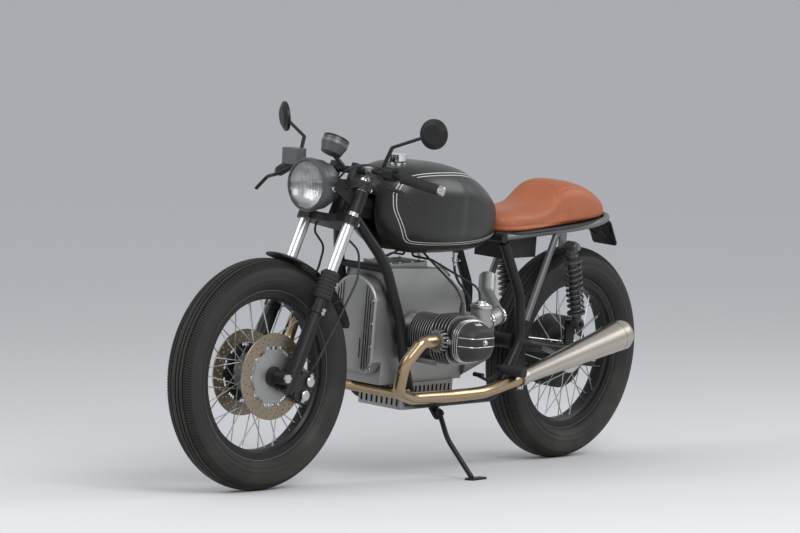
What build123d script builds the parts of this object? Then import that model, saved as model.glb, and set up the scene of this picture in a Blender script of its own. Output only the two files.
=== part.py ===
from build123d import *
import math
import os

os.makedirs("parts", exist_ok=True)

# Stance: everything is drawn upright with both wheels straight, then steered, leaned and settled
wheelbase = 1465
rake = 25
axle_offset = 79
lean_angle = 5.35
rest_steer = -5.7
seat_gap = 0.3
running_gap = 1.0

# Wheels
front_radius = 348
front_tyre_width = 108
front_flange = 254
rear_radius = 338
rear_tyre_width = 120
rear_flange = 241
rim_half_width = 33
rim_wall = 3.5
rim_depth = 28
tyre_wall = 9
spoke_radius = 1.8
spokes_per_side = 20
axle_radius = 8.5
axle_end_radius = 13
axle_end_length = 16
hub_half_width = 46
hub_radius = 30
hub_flange_radius = 62
disc_radius = 130
disc_inner = 88
disc_thickness = 5
disc_y = 60
drum_radius = 112

# Fork
leg_y = 93
axle_lead = 45
stanchion_radius = 18
stanchion_bottom = 160
stanchion_top = 658
slider_radius = 22
slider_bottom = -30
collar_bottom = 279
collar_radius = 27
slider_top = 354
lower_yoke_bottom = 515
upper_yoke_bottom = 628
yoke_height = 26
yoke_boss = 27
stem_radius = 14
head_tube_radius = 30
bar_radius = 11
grip_radius = 16

# Frame tubes
cradle_radius = 16
cradle_y = 112
backbone_radius = 22
brace_x = 1022
brace_z = 656
rail_radius = 11
rail_y = 98
hoop_z = 776
backbone_rear = (474, 0, 742)

# Engine
crank_x = 855
crank_z = 462
cylinder_stagger = 34
case_half_width = 80
case_front = 1000
case_rear = 605
case_bottom = 300
pan_depth = 82
barrel_y = 118
head_y = 222
cover_y = 300
# Front cover's flutes: place across, bottom, top
cover_flutes = [(73, 372, 566), (64, 360, 584), (55, 350, 597), (46, 346, 606)]
cover_end_y = 373
cover_rib_low = -10
cover_rib_high = 16
fin_radius = 66
fin_count = 11
fin_pitch = 9
port_nut_fins = 16

# Tank and seat
tank_front = 1032
tank_rear = 496
tunnel_half = 34
tank_rubbers = [(980, 834), (530, 752)]
seat_front = 486
seat_rear = -132
seat_half_width = 112

# Exhaust
header_radius = 19
balance_radius = 16
balance_half = 172
muffler_small = 22
muffler_large = 48

# Suspension and swing arm
pivot_x = rear_radius + 34
pivot_z = 402
arm_y = 112
shock_y = 137
shock_top = (172, 700)
shock_bottom = (108, 452)

# Side stand, its foot in the standing pose
stand_pivot = (755, 128, 208)
stand_foot = (776, 292)
stand_leg_radius = 8
stand_pin_radius = 5
stand_plate_depth = 18
stand_bow = 24
stand_folded = (-1, 0.2, -0.14)
foot_thickness = 7
stand_shoe_length = 74

rake_sin = math.sin(math.radians(rake))
rake_cos = math.cos(math.radians(rake))
leg_x = axle_offset - axle_lead
front_axle_line = Axis((wheelbase, 0, front_radius), (0, 1, 0))
rear_axle_line = Axis((0, 0, rear_radius), (0, 1, 0))
# Fork frame: x forward of the steering axis, y left, z up along it, level with the axle at z = 0
fork = Plane(
    origin=(wheelbase - axle_offset * rake_cos, 0, front_radius - axle_offset * rake_sin),
    x_dir=(rake_cos, 0, rake_sin),
    z_dir=(-rake_sin, 0, rake_cos),
)


# Side view at a point: x forward, y up, facing the rider's right
def side_view(x, y, z):
    return Plane(origin=(x, y, z), x_dir=(1, 0, 0), z_dir=(0, -1, 0))


def in_fork(forward, left, up):
    return fork.from_local_coords(Vector(forward, left, up))


# Lowest height of a leaned wheel, from its crown circle
def tyre_low(place, centre, radius, width):
    wheel = place * Pos(*centre) * Rot(-90, 0, 0)
    side = Plane(wheel).z_dir.Z
    crown = width / 2
    return wheel.position.Z - (radius - crown) * math.sqrt(1 - side**2) - crown


lean = Rot(-lean_angle, 0, 0)
steer = fork.location * Rot(0, 0, rest_steer) * fork.location.inverse()
rear_low = tyre_low(lean, (0, 0, rear_radius), rear_radius, rear_tyre_width)
front_low = tyre_low(lean * steer, (wheelbase, 0, front_radius), front_radius, front_tyre_width)
pitch = math.degrees(math.atan2(front_low - rear_low, wheelbase))
standing = Pos(0, 0, -rear_low) * Rot(0, pitch, 0) * lean
steered = standing * steer


# Labels a piece and writes it as it stands
def finish(piece, label, place=standing):
    piece.part.label = label
    export_step(place * piece.part, f"parts/{label}.step")


# A round bar along a bent path
def bent_tube(points, bends, radius):
    with BuildLine() as path:
        FilletPolyline(*points, radius=bends)
    with BuildSketch(Plane(origin=path.line @ 0, z_dir=path.line % 0)) as section:
        Circle(radius)
    sweep(section.sketch, path.line)


# A round bar between two points
def rod(start, end, radius):
    start = Vector(start)
    end = Vector(end)
    with BuildSketch(Plane(origin=start, z_dir=end - start)) as section:
        Circle(radius)
    extrude(section.sketch, (end - start).length)


# Tyre section across a wheel at radius, width and rim flange, open towards the rim
def tyre_section(plane, radius, width, flange):
    half = width / 2
    belly = (radius + flange) / 2 + 4
    lip = rim_half_width - rim_wall - seat_gap
    inner = half - tyre_wall
    with BuildSketch(plane) as section:
        with BuildLine():
            Polyline(
                (0, radius), (0.36 * half, radius - 2.5), (0.66 * half, radius - 9), (0.88 * half, radius - 21),
                (half, belly + 8), (half - 1, belly - 10), (0.86 * half, flange + 18),
                (rim_half_width + 1, flange + seat_gap), (lip, flange + seat_gap), (lip - 1, flange - 12),
                (lip - 10, flange - 12), (0.82 * half - tyre_wall, flange + 18), (inner, belly),
                (0.76 * half, radius - 32), (0, radius - 14), close=True,
            )
        make_face()
        mirror(about=Plane.YZ)
    return section.sketch


# Rim section: a channel with its well towards the hub
def rim_section(plane, flange):
    half = rim_half_width
    well = flange - rim_depth
    with BuildSketch(plane) as section:
        with BuildLine():
            Polyline(
                (half, flange), (half - 1, flange - 18), (half - 12, flange - 20), (half - 18, well),
                (-half + 18, well), (-half + 12, flange - 20), (-half + 1, flange - 18), (-half, flange),
                close=True,
            )
        make_face()
        with BuildLine():
            Polyline(
                (half - rim_wall, flange + 1), (half - rim_wall - 1, flange - 14),
                (half - 14, flange - 16), (half - 20, well + rim_wall),
                (-half + 20, well + rim_wall), (-half + 14, flange - 16),
                (-half + rim_wall + 1, flange - 14), (-half + rim_wall, flange + 1),
                close=True,
            )
        make_face(mode=Mode.SUBTRACT)
    return section.sketch


front_wheel_plane = Plane(origin=(wheelbase, 0, front_radius), x_dir=(0, 1, 0), z_dir=(1, 0, 0))
rear_wheel_plane = Plane(origin=(0, 0, rear_radius), x_dir=(0, 1, 0), z_dir=(1, 0, 0))

with BuildPart() as front_tyre:
    revolve(tyre_section(front_wheel_plane, front_radius, front_tyre_width, front_flange), front_axle_line)
finish(front_tyre, "front_tyre", steered)

with BuildPart() as front_rim:
    revolve(rim_section(front_wheel_plane, front_flange), front_axle_line)
finish(front_rim, "front_rim", steered)

with BuildPart() as rear_tyre:
    revolve(tyre_section(rear_wheel_plane, rear_radius, rear_tyre_width, rear_flange), rear_axle_line)
finish(rear_tyre, "rear_tyre")

with BuildPart() as rear_rim:
    revolve(rim_section(rear_wheel_plane, rear_flange), rear_axle_line)
finish(rear_rim, "rear_rim")


# Laced spokes from both hub flanges to the rim's well, crossing in pairs
def lace(centre, flange_radius, flange_y, rim_radius):
    sweep_angle = 38
    step = 360 / spokes_per_side
    for side in (1, -1):
        for index in range(spokes_per_side):
            lead = 1 if index % 2 else -1
            foot = math.radians(step * index + (step / 2 if side > 0 else 0))
            head = foot + math.radians(lead * sweep_angle + step / 2)
            foot_y = side * (flange_y + 3 * lead)
            head_y_place = side * (8 + 3 * lead)
            start = centre + Vector(flange_radius * math.cos(foot), foot_y, flange_radius * math.sin(foot))
            end = centre + Vector(rim_radius * math.cos(head), head_y_place, rim_radius * math.sin(head))
            with BuildSketch(Plane(origin=start, z_dir=end - start)) as section:
                RegularPolygon(spoke_radius, 6)
            extrude(section.sketch, (end - start).length)


# Hub section from its axis: half widths over the flanges and the shoulders, barrel and flange radius
def hub_section(plane, half, shoulder, barrel, flange):
    bore = axle_radius + seat_gap
    with BuildSketch(plane) as section:
        with BuildLine():
            Polyline(
                (-shoulder, bore), (shoulder, bore), (shoulder, flange * 0.7), (half, flange * 0.7),
                (half - 2, flange), (half - 10, flange), (half - 13, barrel), (13 - half, barrel),
                (10 - half, flange), (2 - half, flange), (-half, flange * 0.7), (-shoulder, flange * 0.7), close=True,
            )
        make_face()
    return section.sketch


with BuildPart() as front_hub:
    revolve(
        hub_section(front_wheel_plane, hub_half_width, disc_y - disc_thickness / 2, hub_radius, hub_flange_radius),
        front_axle_line,
    )
    lace(Vector(wheelbase, 0, front_radius), hub_flange_radius - 5, hub_half_width - 6, front_flange - rim_depth - 1)
finish(front_hub, "front_hub", steered)

with BuildPart() as brake_discs:
    for side in (1, -1):
        with BuildSketch(side_view(wheelbase, side * disc_y, front_radius)):
            Circle(disc_radius)
            Circle(disc_inner, mode=Mode.SUBTRACT)
            with PolarLocations((disc_inner + hub_flange_radius) / 2 - 8, 10):
                Rectangle(60, 12)
            Circle(hub_flange_radius - 12)
            Circle(axle_radius + 4, mode=Mode.SUBTRACT)
        extrude(amount=disc_thickness / 2, both=True)
finish(brake_discs, "brake_discs", steered)

with BuildPart() as rear_hub:
    revolve(
        hub_section(rear_wheel_plane, hub_half_width, hub_half_width + 12, hub_radius, hub_flange_radius),
        rear_axle_line,
    )
    with BuildSketch(side_view(0, 8, rear_radius)):
        Circle(drum_radius)
        Circle(axle_radius + 4, mode=Mode.SUBTRACT)
    extrude(amount=70)
    lace(Vector(0, 0, rear_radius), hub_flange_radius - 5, hub_half_width - 6, rear_flange - rim_depth - 1)
finish(rear_hub, "rear_hub")

# Front axle, held in both sliders
axle_half = leg_y + slider_radius + 6
with BuildPart() as front_axle:
    with BuildSketch(side_view(wheelbase, axle_half, front_radius)):
        Circle(axle_radius)
    extrude(amount=2 * axle_half)
    for side in (1, -1):
        with BuildSketch(side_view(wheelbase, side * axle_half, front_radius)):
            RegularPolygon(14, 6)
        extrude(amount=-side * 8)
finish(front_axle, "front_axle", steered)

# Fork legs
with BuildPart() as sliders:
    for side in (1, -1):
        leg_centre = (leg_x, side * leg_y)
        with BuildSketch(fork.offset(slider_bottom)):
            with Locations(leg_centre):
                Circle(slider_radius - 2)
        with BuildSketch(fork.offset(60)):
            with Locations(leg_centre):
                Circle(slider_radius)
        loft()
        with BuildSketch(fork.offset(60)):
            with Locations(leg_centre):
                Circle(slider_radius)
        extrude(amount=collar_bottom - 60)
        with BuildSketch(fork.offset(collar_bottom)):
            with Locations(leg_centre):
                Circle(collar_radius)
        extrude(amount=slider_top - collar_bottom)
        with BuildSketch(side_view(wheelbase, side * leg_y, front_radius)):
            Circle(19)
        extrude(amount=slider_radius, both=True)
        lug = Plane(origin=in_fork(leg_x, side * leg_y, 0), x_dir=fork.x_dir, z_dir=(0, 1, 0))
        with BuildSketch(lug):
            with Locations((axle_lead / 2, 0)):
                Rectangle(axle_lead, 30)
        extrude(amount=14, both=True)
        with BuildSketch(fork.offset(stanchion_bottom - 4)):
            with Locations(leg_centre):
                Circle(stanchion_radius + seat_gap)
        extrude(amount=slider_top, mode=Mode.SUBTRACT)
        with BuildSketch(side_view(wheelbase, side * leg_y, front_radius)):
            Circle(axle_radius + seat_gap)
        extrude(amount=2 * slider_radius, both=True, mode=Mode.SUBTRACT)
finish(sliders, "sliders", steered)

with BuildPart() as stanchions:
    with BuildSketch(fork.offset(stanchion_bottom)):
        with Locations((leg_x, leg_y), (leg_x, -leg_y)):
            Circle(stanchion_radius)
    extrude(amount=stanchion_top - stanchion_bottom)
finish(stanchions, "stanchions", steered)


# Yoke outline: both leg bosses and the stem boss in one hull, bored for the legs
def yoke_outline(height):
    with BuildSketch(fork.offset(height)) as outline:
        with Locations((leg_x, leg_y), (leg_x, -leg_y)):
            Circle(yoke_boss)
        Circle(yoke_boss + 6)
        make_hull()
        with Locations((leg_x + yoke_boss + 4, 0)):
            Ellipse(22, leg_y - yoke_boss - 8, mode=Mode.SUBTRACT)
        with Locations((leg_x, leg_y), (leg_x, -leg_y)):
            Circle(stanchion_radius + seat_gap, mode=Mode.SUBTRACT)
    return outline.sketch


with BuildPart() as lower_yoke:
    extrude(yoke_outline(lower_yoke_bottom), yoke_height)
    with BuildSketch(fork.offset(lower_yoke_bottom)):
        Circle(stem_radius)
    extrude(amount=upper_yoke_bottom + yoke_height + 12 - lower_yoke_bottom)
finish(lower_yoke, "lower_yoke", steered)

# Handlebar path, left half from the middle, in the steered frame
bar_middle = in_fork(leg_x + 4, 0, upper_yoke_bottom + yoke_height + 34)
bar_end = Vector(1082, 338, 919)
bar_points = [
    bar_middle, bar_middle + Vector(0, 70, 0), bar_middle + Vector(24, 150, 6),
    bar_middle + Vector(18, 206, 3), bar_end,
]
with BuildPart() as upper_yoke:
    extrude(yoke_outline(upper_yoke_bottom), yoke_height)
    with BuildSketch(fork.offset(upper_yoke_bottom)):
        Circle(stem_radius + seat_gap)
    extrude(amount=yoke_height, mode=Mode.SUBTRACT)
    for side in (1, -1):
        with BuildSketch(fork.offset(upper_yoke_bottom + yoke_height)):
            with Locations((leg_x + 4, side * 45)):
                RectangleRounded(36, 26, 6)
        extrude(amount=52)
        with BuildSketch(Plane(origin=bar_middle, x_dir=fork.x_dir, z_dir=(0, 1, 0))):
            Circle(bar_radius + 0.1)
        extrude(amount=80, both=True, mode=Mode.SUBTRACT)
finish(upper_yoke, "upper_yoke", steered)

with BuildPart() as handlebar:
    bent_tube(bar_points, [24, 50, 50], bar_radius)
    mirror(about=Plane.XZ)
finish(handlebar, "handlebar", steered)

bar_direction = (bar_end - bar_points[-2]).normalized()
grip_length = 118
with BuildPart() as grips:
    for side in (1, -1):
        outer = Vector(bar_end.X, side * bar_end.Y, bar_end.Z)
        along = Vector(bar_direction.X, side * bar_direction.Y, bar_direction.Z)
        with BuildSketch(Plane(origin=outer - along * grip_length, z_dir=along)):
            Circle(grip_radius)
            Circle(bar_radius, mode=Mode.SUBTRACT)
        extrude(amount=grip_length)
        with BuildSketch(Plane(origin=outer, z_dir=along)):
            Circle(grip_radius - 1)
        extrude(amount=20, taper=8)
finish(grips, "grips", steered)

# Headlamp on the forward axis of the machine
lamp_radius = 81
lens_radius = 72
lamp_front = in_fork(168, 0, (lower_yoke_bottom + upper_yoke_bottom) / 2 + 8)
with BuildPart() as headlamp_shell:
    with BuildSketch(Plane(origin=lamp_front, x_dir=(1, 0, 0), z_dir=(0, -1, 0))):
        with BuildLine():
            rim = Polyline(
                (-8, 0), (-8, lens_radius), (2, lens_radius + 1), (2, lamp_radius - 2),
                (-4, lamp_radius), (-18, lamp_radius), (-20, lamp_radius - 3),
            )
            Polyline(
                rim @ 1, (-50, lamp_radius - 6), (-80, lamp_radius - 19), (-102, lamp_radius - 40), (-114, 20),
                (-114, 0), rim @ 0,
            )
        make_face()
    revolve(axis=Axis(tuple(lamp_front), (1, 0, 0)))
    for side in (1, -1):
        boss = lamp_front + Vector(-34, side * (lamp_radius - 10), -8)
        rod(boss, Vector(boss.X, side * (leg_y - 3 - seat_gap), boss.Z), 8)
finish(headlamp_shell, "headlamp_shell", steered)

with BuildPart() as headlamp_lens:
    with BuildSketch(Plane(origin=lamp_front, x_dir=(1, 0, 0), z_dir=(0, -1, 0))):
        with BuildLine():
            back = Line((-8 + seat_gap, 0), (-8 + seat_gap, lens_radius - seat_gap))
            edge = Line(back @ 1, (0, lens_radius - seat_gap))
            Polyline(edge @ 1, (5, lens_radius * 0.75), (9, lens_radius / 2), (11, 12), (11, 0), back @ 0)
        make_face()
    revolve(axis=Axis(tuple(lamp_front), (1, 0, 0)))
finish(headlamp_lens, "headlamp_lens", steered)

# Lamp ears from the fork legs to the lamp's side bolts
ear_height = (lower_yoke_bottom + yoke_height + upper_yoke_bottom) / 2 + 5
ear_half = 34
with BuildPart() as lamp_ears:
    for side in (1, -1):
        leg = in_fork(leg_x, side * leg_y, ear_height)
        with BuildSketch(fork.offset(ear_height - ear_half)):
            with Locations((leg_x, side * leg_y)):
                Circle(stanchion_radius + 5)
                Circle(stanchion_radius + seat_gap, mode=Mode.SUBTRACT)
        extrude(amount=2 * ear_half)
        with BuildSketch(Plane(origin=leg, x_dir=fork.x_dir, z_dir=(0, 1, 0))):
            with BuildLine():
                Polyline((stanchion_radius + 2, -20), (stanchion_radius + 2, 20), (106, 4), (106, -34), close=True)
            make_face()
        extrude(amount=-3 if side > 0 else 3)
finish(lamp_ears, "lamp_ears", steered)

gauge_radius = 40
gauge_centre = Vector(1192, 0, 1026)
gauge_axis = Vector(-0.45, 0, 0.89)
with BuildPart() as gauge:
    with BuildSketch(Plane(origin=gauge_centre, z_dir=gauge_axis)):
        Circle(gauge_radius)
    extrude(amount=24)
    with BuildSketch(Plane(origin=gauge_centre, z_dir=-gauge_axis)):
        Circle(gauge_radius)
    extrude(amount=26, taper=18)
    gauge_low = gauge_centre - gauge_axis * 20
    gauge_lean = (gauge_low - bar_middle).normalized()
    rod(gauge_low, bar_middle + gauge_lean * (bar_radius + seat_gap), 7)
finish(gauge, "gauge", steered)

# Lever perches halfway along the bars' straight stretch
perch_radius = 17
perch_front = (bar_points[2].X + bar_points[3].X) / 2 + perch_radius + seat_gap
perch_top = (bar_points[2].Z + bar_points[3].Z) / 2 + perch_radius + seat_gap
with BuildPart() as hand_levers:
    for side in (1, -1):
        inner = Vector(bar_points[2].X, side * bar_points[2].Y, bar_points[2].Z)
        outer = Vector(bar_points[3].X, side * bar_points[3].Y, bar_points[3].Z)
        perch = (inner + outer) / 2
        with BuildSketch(Plane(origin=perch, x_dir=(1, 0, 0), z_dir=outer - inner)):
            Circle(perch_radius)
            Circle(bar_radius + seat_gap, mode=Mode.SUBTRACT)
        extrude(amount=10, both=True)
        housing = perch + (outer - inner).normalized() * 30
        with BuildSketch(Plane(origin=housing, x_dir=(1, 0, 0), z_dir=outer - inner)):
            RectangleRounded(40, 42, 12)
            Circle(bar_radius + seat_gap, mode=Mode.SUBTRACT)
        extrude(amount=17, both=True)
        bent_tube([
            perch + Vector(16, side * 2, -8), perch + Vector(40, side * 60, -40),
            perch + Vector(24, side * 110, -50), Vector(1192, side * 326, 868),
        ], [30, 30], 5.5)
    add(handlebar.part, mode=Mode.SUBTRACT)
    add(grips.part, mode=Mode.SUBTRACT)
finish(hand_levers, "hand_levers", steered)

mirror_radius = 45
mirror_turn = {1: (-0.96, -0.28, 0.0), -1: (-0.87, 0.48, 0.1)}
with BuildPart() as mirrors:
    for side in (1, -1):
        base = Vector(perch_front - perch_radius, side * (bar_points[2].Y + bar_points[3].Y) / 2, perch_top)
        elbow = Vector(1148 if side > 0 else 1118, side * 202, 1036)
        face_centre = Vector(1114 if side > 0 else 1076, side * 336, 1086)
        rod(base, elbow, 6)
        rod(elbow, face_centre, 5)
        with BuildSketch(Plane(origin=face_centre, z_dir=mirror_turn[side])):
            Circle(mirror_radius)
        extrude(amount=7)
        with BuildSketch(Plane(origin=face_centre, z_dir=-Vector(mirror_turn[side]))):
            Circle(mirror_radius)
        extrude(amount=9, taper=62)
    add(hand_levers.part, mode=Mode.SUBTRACT)
finish(mirrors, "mirrors", steered)

with BuildPart() as brake_reservoir:
    with BuildSketch(Plane.XY.offset(958)):
        with Locations((perch_front + 24, -160)):
            RectangleRounded(46, 66, 8)
    extrude(amount=48)
finish(brake_reservoir, "brake_reservoir", steered)

with BuildPart() as calipers:
    for side in (1, -1):
        centre = in_fork(-38, side * (disc_y + 7), 14)
        slot = in_fork(-38, side * disc_y, 14)
        with BuildSketch(Plane(origin=centre, x_dir=fork.x_dir, z_dir=(0, 1, 0))):
            RectangleRounded(62, 92, 14)
        extrude(amount=21, both=True)
        with BuildSketch(Plane(origin=slot, x_dir=fork.x_dir, z_dir=(0, 1, 0))):
            with Locations((15, 0)):
                Rectangle(62, 94)
        extrude(amount=disc_thickness / 2 + 5, both=True, mode=Mode.SUBTRACT)
        with BuildSketch(Plane(origin=in_fork(0, side * 82, 14), x_dir=fork.x_dir, z_dir=(0, 1, 0))):
            with Locations((leg_x - 30, 0)):
                Rectangle(60, 56)
        extrude(amount=6, both=True)
    add(sliders.part, mode=Mode.SUBTRACT)
finish(calipers, "calipers", steered)

# Left brake hose in the fork frame: forward, left, up
hose_radius = 3.5
hose_points = [
    (-42, 78, 57), (-40, 96, 105), (-62, 96, 255), (-86, 88, 395), (-62, 74, 470), (8, 64, 490), (14, 64, 518),
]
with BuildPart() as brake_hoses:
    for side in (1, -1):
        points = [in_fork(forward, side * left, up) for forward, left, up in hose_points]
        bent_tube(points, [20, 120, 120, 40, 20], hose_radius)
    add(calipers.part, mode=Mode.SUBTRACT)
    add(lower_yoke.part, mode=Mode.SUBTRACT)
finish(brake_hoses, "brake_hoses", steered)

# Front fender: a crowned strip round the tyre, from just behind its top
fender_inner = front_radius + 17
fender_half = 59
fender_length = 67
with BuildPart() as front_fender:
    with BuildSketch(front_wheel_plane):
        with BuildLine():
            edge_low = fender_inner - 16
            outer = ThreePointArc((-fender_half, edge_low), (0, fender_inner + 3), (fender_half, edge_low))
            drop = Line(outer @ 1, (fender_half - 3, edge_low))
            under = ThreePointArc(drop @ 1, (0, fender_inner), (3 - fender_half, edge_low))
            Line(under @ 1, outer @ 0)
        make_face()
    revolve(axis=front_axle_line, revolution_arc=-fender_length)
    for side in (1, -1):
        rod(in_fork(leg_x, side * 54, 346), in_fork(leg_x, side * (leg_y - collar_radius - seat_gap), 346), 6)
finish(front_fender, "front_fender", steered)

# Main frame: steering head with the backbone under the tank
head_rear = in_fork(-5, 0, 606)
head_low = in_fork(0, 0, lower_yoke_bottom + yoke_height + running_gap)
head_high = in_fork(0, 0, upper_yoke_bottom - running_gap)
with BuildPart() as frame_spine:
    rod(head_low, head_high, head_tube_radius)
    rod(head_rear, backbone_rear, backbone_radius)
    with BuildSketch(side_view(0, 0, 0)):
        with BuildLine():
            Polyline(
                (head_rear.X + 17, head_rear.Z - 40), (head_rear.X - 5, head_rear.Z + 18),
                (head_rear.X - 133, head_rear.Z - 16), (head_rear.X - 113, head_rear.Z - 62), close=True,
            )
        make_face()
    extrude(amount=14, both=True)
    with BuildSketch(fork.offset(lower_yoke_bottom - 60)):
        Circle(head_tube_radius + 40)
    extrude(amount=60 + yoke_height + running_gap, mode=Mode.SUBTRACT)
    with BuildSketch(fork.offset(upper_yoke_bottom - running_gap)):
        Circle(head_tube_radius + 40)
    extrude(amount=60, mode=Mode.SUBTRACT)
    with BuildSketch(fork.offset(lower_yoke_bottom)):
        Circle(stem_radius + running_gap)
    extrude(amount=upper_yoke_bottom - lower_yoke_bottom, mode=Mode.SUBTRACT)
    for x, z in tank_rubbers:
        rod((x, tunnel_half - seat_gap, z), (x, seat_gap - tunnel_half, z), 9)
    with BuildSketch(side_view(backbone_rear[0], rail_y + 10, backbone_rear[2] - 10)):
        Circle(15)
    extrude(amount=2 * (rail_y + 10))
finish(frame_spine, "frame_spine")

# Frame tubes, left half of each pair
down_top = in_fork(-38, 32, 566)
down_points = [
    tuple(down_top), (1030, 92, 676), (952, 106, 490), (932, cradle_y, 380),
    (876, cradle_y, 240), (800, cradle_y, 240),
]
rear_points = [
    (pivot_x + 176, cradle_y, 240), (pivot_x + 98, cradle_y, 240), (pivot_x - 14, 110, pivot_z + 8),
    (pivot_x - 2, 104, 550), (466, 100, 716),
]


def on_side(points, side):
    return [(x, side * y, z) for x, y, z in points]


with BuildPart() as down_tubes:
    for side in (1, -1):
        bent_tube(on_side(down_points, side), [300, 300, 200, 60], cradle_radius)
    rod((brace_x, 88, brace_z), (brace_x, -88, brace_z), rail_radius)
    add(frame_spine.part, mode=Mode.SUBTRACT)
finish(down_tubes, "down_tubes")

# Side stand's pin: square to both the leg's place and its folded line
stand_floor = Plane(standing.inverse() * Pos(stand_foot[0], stand_foot[1], 0))
stand_pin = Vector(stand_pivot)
stand_shoe = stand_floor.origin
stand_axis = (stand_shoe - stand_pin).cross(Vector(stand_folded)).normalized()
with BuildPart() as cradle_rails:
    for side in (1, -1):
        rod((800, side * cradle_y, 240), (pivot_x + 176, side * cradle_y, 240), cradle_radius)
    plate_centre = stand_pin - stand_axis * stand_plate_depth
    rod(plate_centre, stand_pin + stand_axis * 9, stand_pin_radius)
    with BuildSketch(Plane(origin=plate_centre, x_dir=(1, 0, 0), z_dir=stand_axis)):
        with Locations((0, -12)):
            RectangleRounded(30, 52, 12)
    extrude(amount=10)
    with BuildSketch(Plane(origin=plate_centre, x_dir=(1, 0, 0), z_dir=stand_axis)):
        with Locations((0, -28)):
            Rectangle(28, 16)
    extrude(amount=20)
finish(cradle_rails, "cradle_rails")

with BuildPart() as rear_uprights:
    for side in (1, -1):
        bent_tube(on_side(rear_points, side), [70, 120, 120], cradle_radius)
    add(frame_spine.part, mode=Mode.SUBTRACT)
finish(rear_uprights, "rear_uprights")

# Seat rails, stays and the tail hoop
rail_front = (466, rail_y, 734)
rail_rear = (-60, rail_y - 4, 762)
stay_top = (196, rail_y - 2, 736)
stay_bottom = (322, rail_y - 2, 462)
with BuildPart() as seat_rails:
    for side in (1, -1):
        bent_tube(
            on_side([rail_front, (240, rail_y, 744), rail_rear, (-150, rail_y - 10, hoop_z), (-156, 0, hoop_z)], side),
            [300, 200, 70], rail_radius,
        )
        rod(on_side([stay_top], side)[0], on_side([stay_bottom], side)[0], rail_radius)
        rod((shock_top[0], side * (rail_y - 4), shock_top[1]), (shock_top[0], side * (shock_y + 22), shock_top[1]), 8)
        with BuildSketch(side_view(shock_top[0], side * (rail_y + 3), shock_top[1])):
            with Locations((0, 22)):
                Rectangle(34, 60)
        extrude(amount=4, both=True)
    add(frame_spine.part, mode=Mode.SUBTRACT)
    add(rear_uprights.part, mode=Mode.SUBTRACT)
finish(seat_rails, "seat_rails")

# Swing arm: left arm, cross tube at the pivot and the drive shaft's housing on the right
with BuildPart() as swingarm:
    rod((pivot_x, 92, pivot_z), (pivot_x, -92, pivot_z), 24)
    bent_tube([(pivot_x, 66, pivot_z), (pivot_x - 76, arm_y - 10, 390), (0, arm_y - 10, rear_radius + 8)], [60], 19)
    bent_tube([(pivot_x, -62, pivot_z), (pivot_x - 76, 11 - arm_y, 390), (74, 8 - arm_y, rear_radius + 12)], [60], 24)
    with BuildSketch(side_view(0, arm_y - 10, rear_radius)):
        Circle(30)
    extrude(amount=20, both=True)
    with BuildSketch(side_view(shock_bottom[0] - 4, arm_y - 6, (shock_bottom[1] + rear_radius) / 2 + 8)):
        Rectangle(40, shock_bottom[1] - rear_radius)
    extrude(amount=5, both=True)
    rod((shock_bottom[0], arm_y - 2, shock_bottom[1]), (shock_bottom[0], shock_y + 22, shock_bottom[1]), 8)
    add(rear_uprights.part, mode=Mode.SUBTRACT)
    with BuildSketch(side_view(0, arm_y + 30, rear_radius)):
        Circle(axle_radius + seat_gap)
    extrude(amount=2 * arm_y + 60, mode=Mode.SUBTRACT)
finish(swingarm, "swingarm")

with BuildPart() as final_drive:
    with BuildSketch(side_view(0, -hub_half_width - 22, rear_radius)):
        Circle(82)
    with BuildSketch(side_view(0, -hub_half_width - 90, rear_radius)):
        Circle(52)
    loft()
    rod((0, -104, rear_radius), (73.7, -104, rear_radius + 12), 30)
    rod((shock_bottom[0], -100, shock_bottom[1]), (shock_bottom[0], -shock_y - 22, shock_bottom[1]), 8)
    with BuildSketch(side_view(60, -98, 400)):
        with BuildLine():
            Polyline((-40, -30), (28, -30), (62, 46), (62, 62), (34, 62), close=True)
        make_face()
    extrude(amount=8, both=True)
    add(swingarm.part, mode=Mode.SUBTRACT)
    with BuildSketch(side_view(0, 0, rear_radius)):
        Circle(axle_radius + seat_gap)
    extrude(amount=200, mode=Mode.SUBTRACT)
finish(final_drive, "final_drive")

with BuildPart() as rear_axle:
    nut_y = arm_y + 10 + seat_gap
    axle_end_y = -136 - seat_gap
    rod((0, nut_y, rear_radius), (0, -140, rear_radius), axle_radius)
    rod((0, axle_end_y, rear_radius), (0, axle_end_y - axle_end_length, rear_radius), axle_end_radius)
    rod((0, hub_half_width + 12.5, rear_radius), (0, arm_y - 30 - seat_gap, rear_radius), 15)
    with BuildSketch(side_view(0, nut_y, rear_radius)):
        RegularPolygon(14, 6)
    extrude(amount=-11)
finish(rear_axle, "rear_axle")

# Engine
with BuildPart() as crankcase:
    with BuildSketch(side_view(0, 0, 0)):
        with BuildLine():
            Polyline(
                (case_rear, case_bottom), (case_front, case_bottom), (case_front, 640), (case_front - 18, 656),
                (740, 646), (620, 566), (case_rear, 520), close=True,
            )
        make_face()
    extrude(amount=case_half_width, both=True)
    fillet(crankcase.edges().filter_by(GeomType.LINE).group_by(Axis.Z)[-1], 6)
    for side in (1, -1):
        with BuildSketch(side_view(crank_x + side * cylinder_stagger / 2, side * (case_half_width - 1), crank_z)):
            Circle(54)
        extrude(amount=-side * (barrel_y - case_half_width + 1))
    with BuildSketch(Plane.XY.offset(640)):
        with Locations((870, 0)):
            RectangleRounded(190, 118, 20)
    extrude(amount=26)
    with BuildSketch(Plane.XY.offset(661)):
        with Locations((840, 0), (870, 0), (900, 0)):
            RectangleRounded(8, 84, 3)
    extrude(amount=10, mode=Mode.SUBTRACT)
finish(crankcase, "crankcase")

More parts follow.
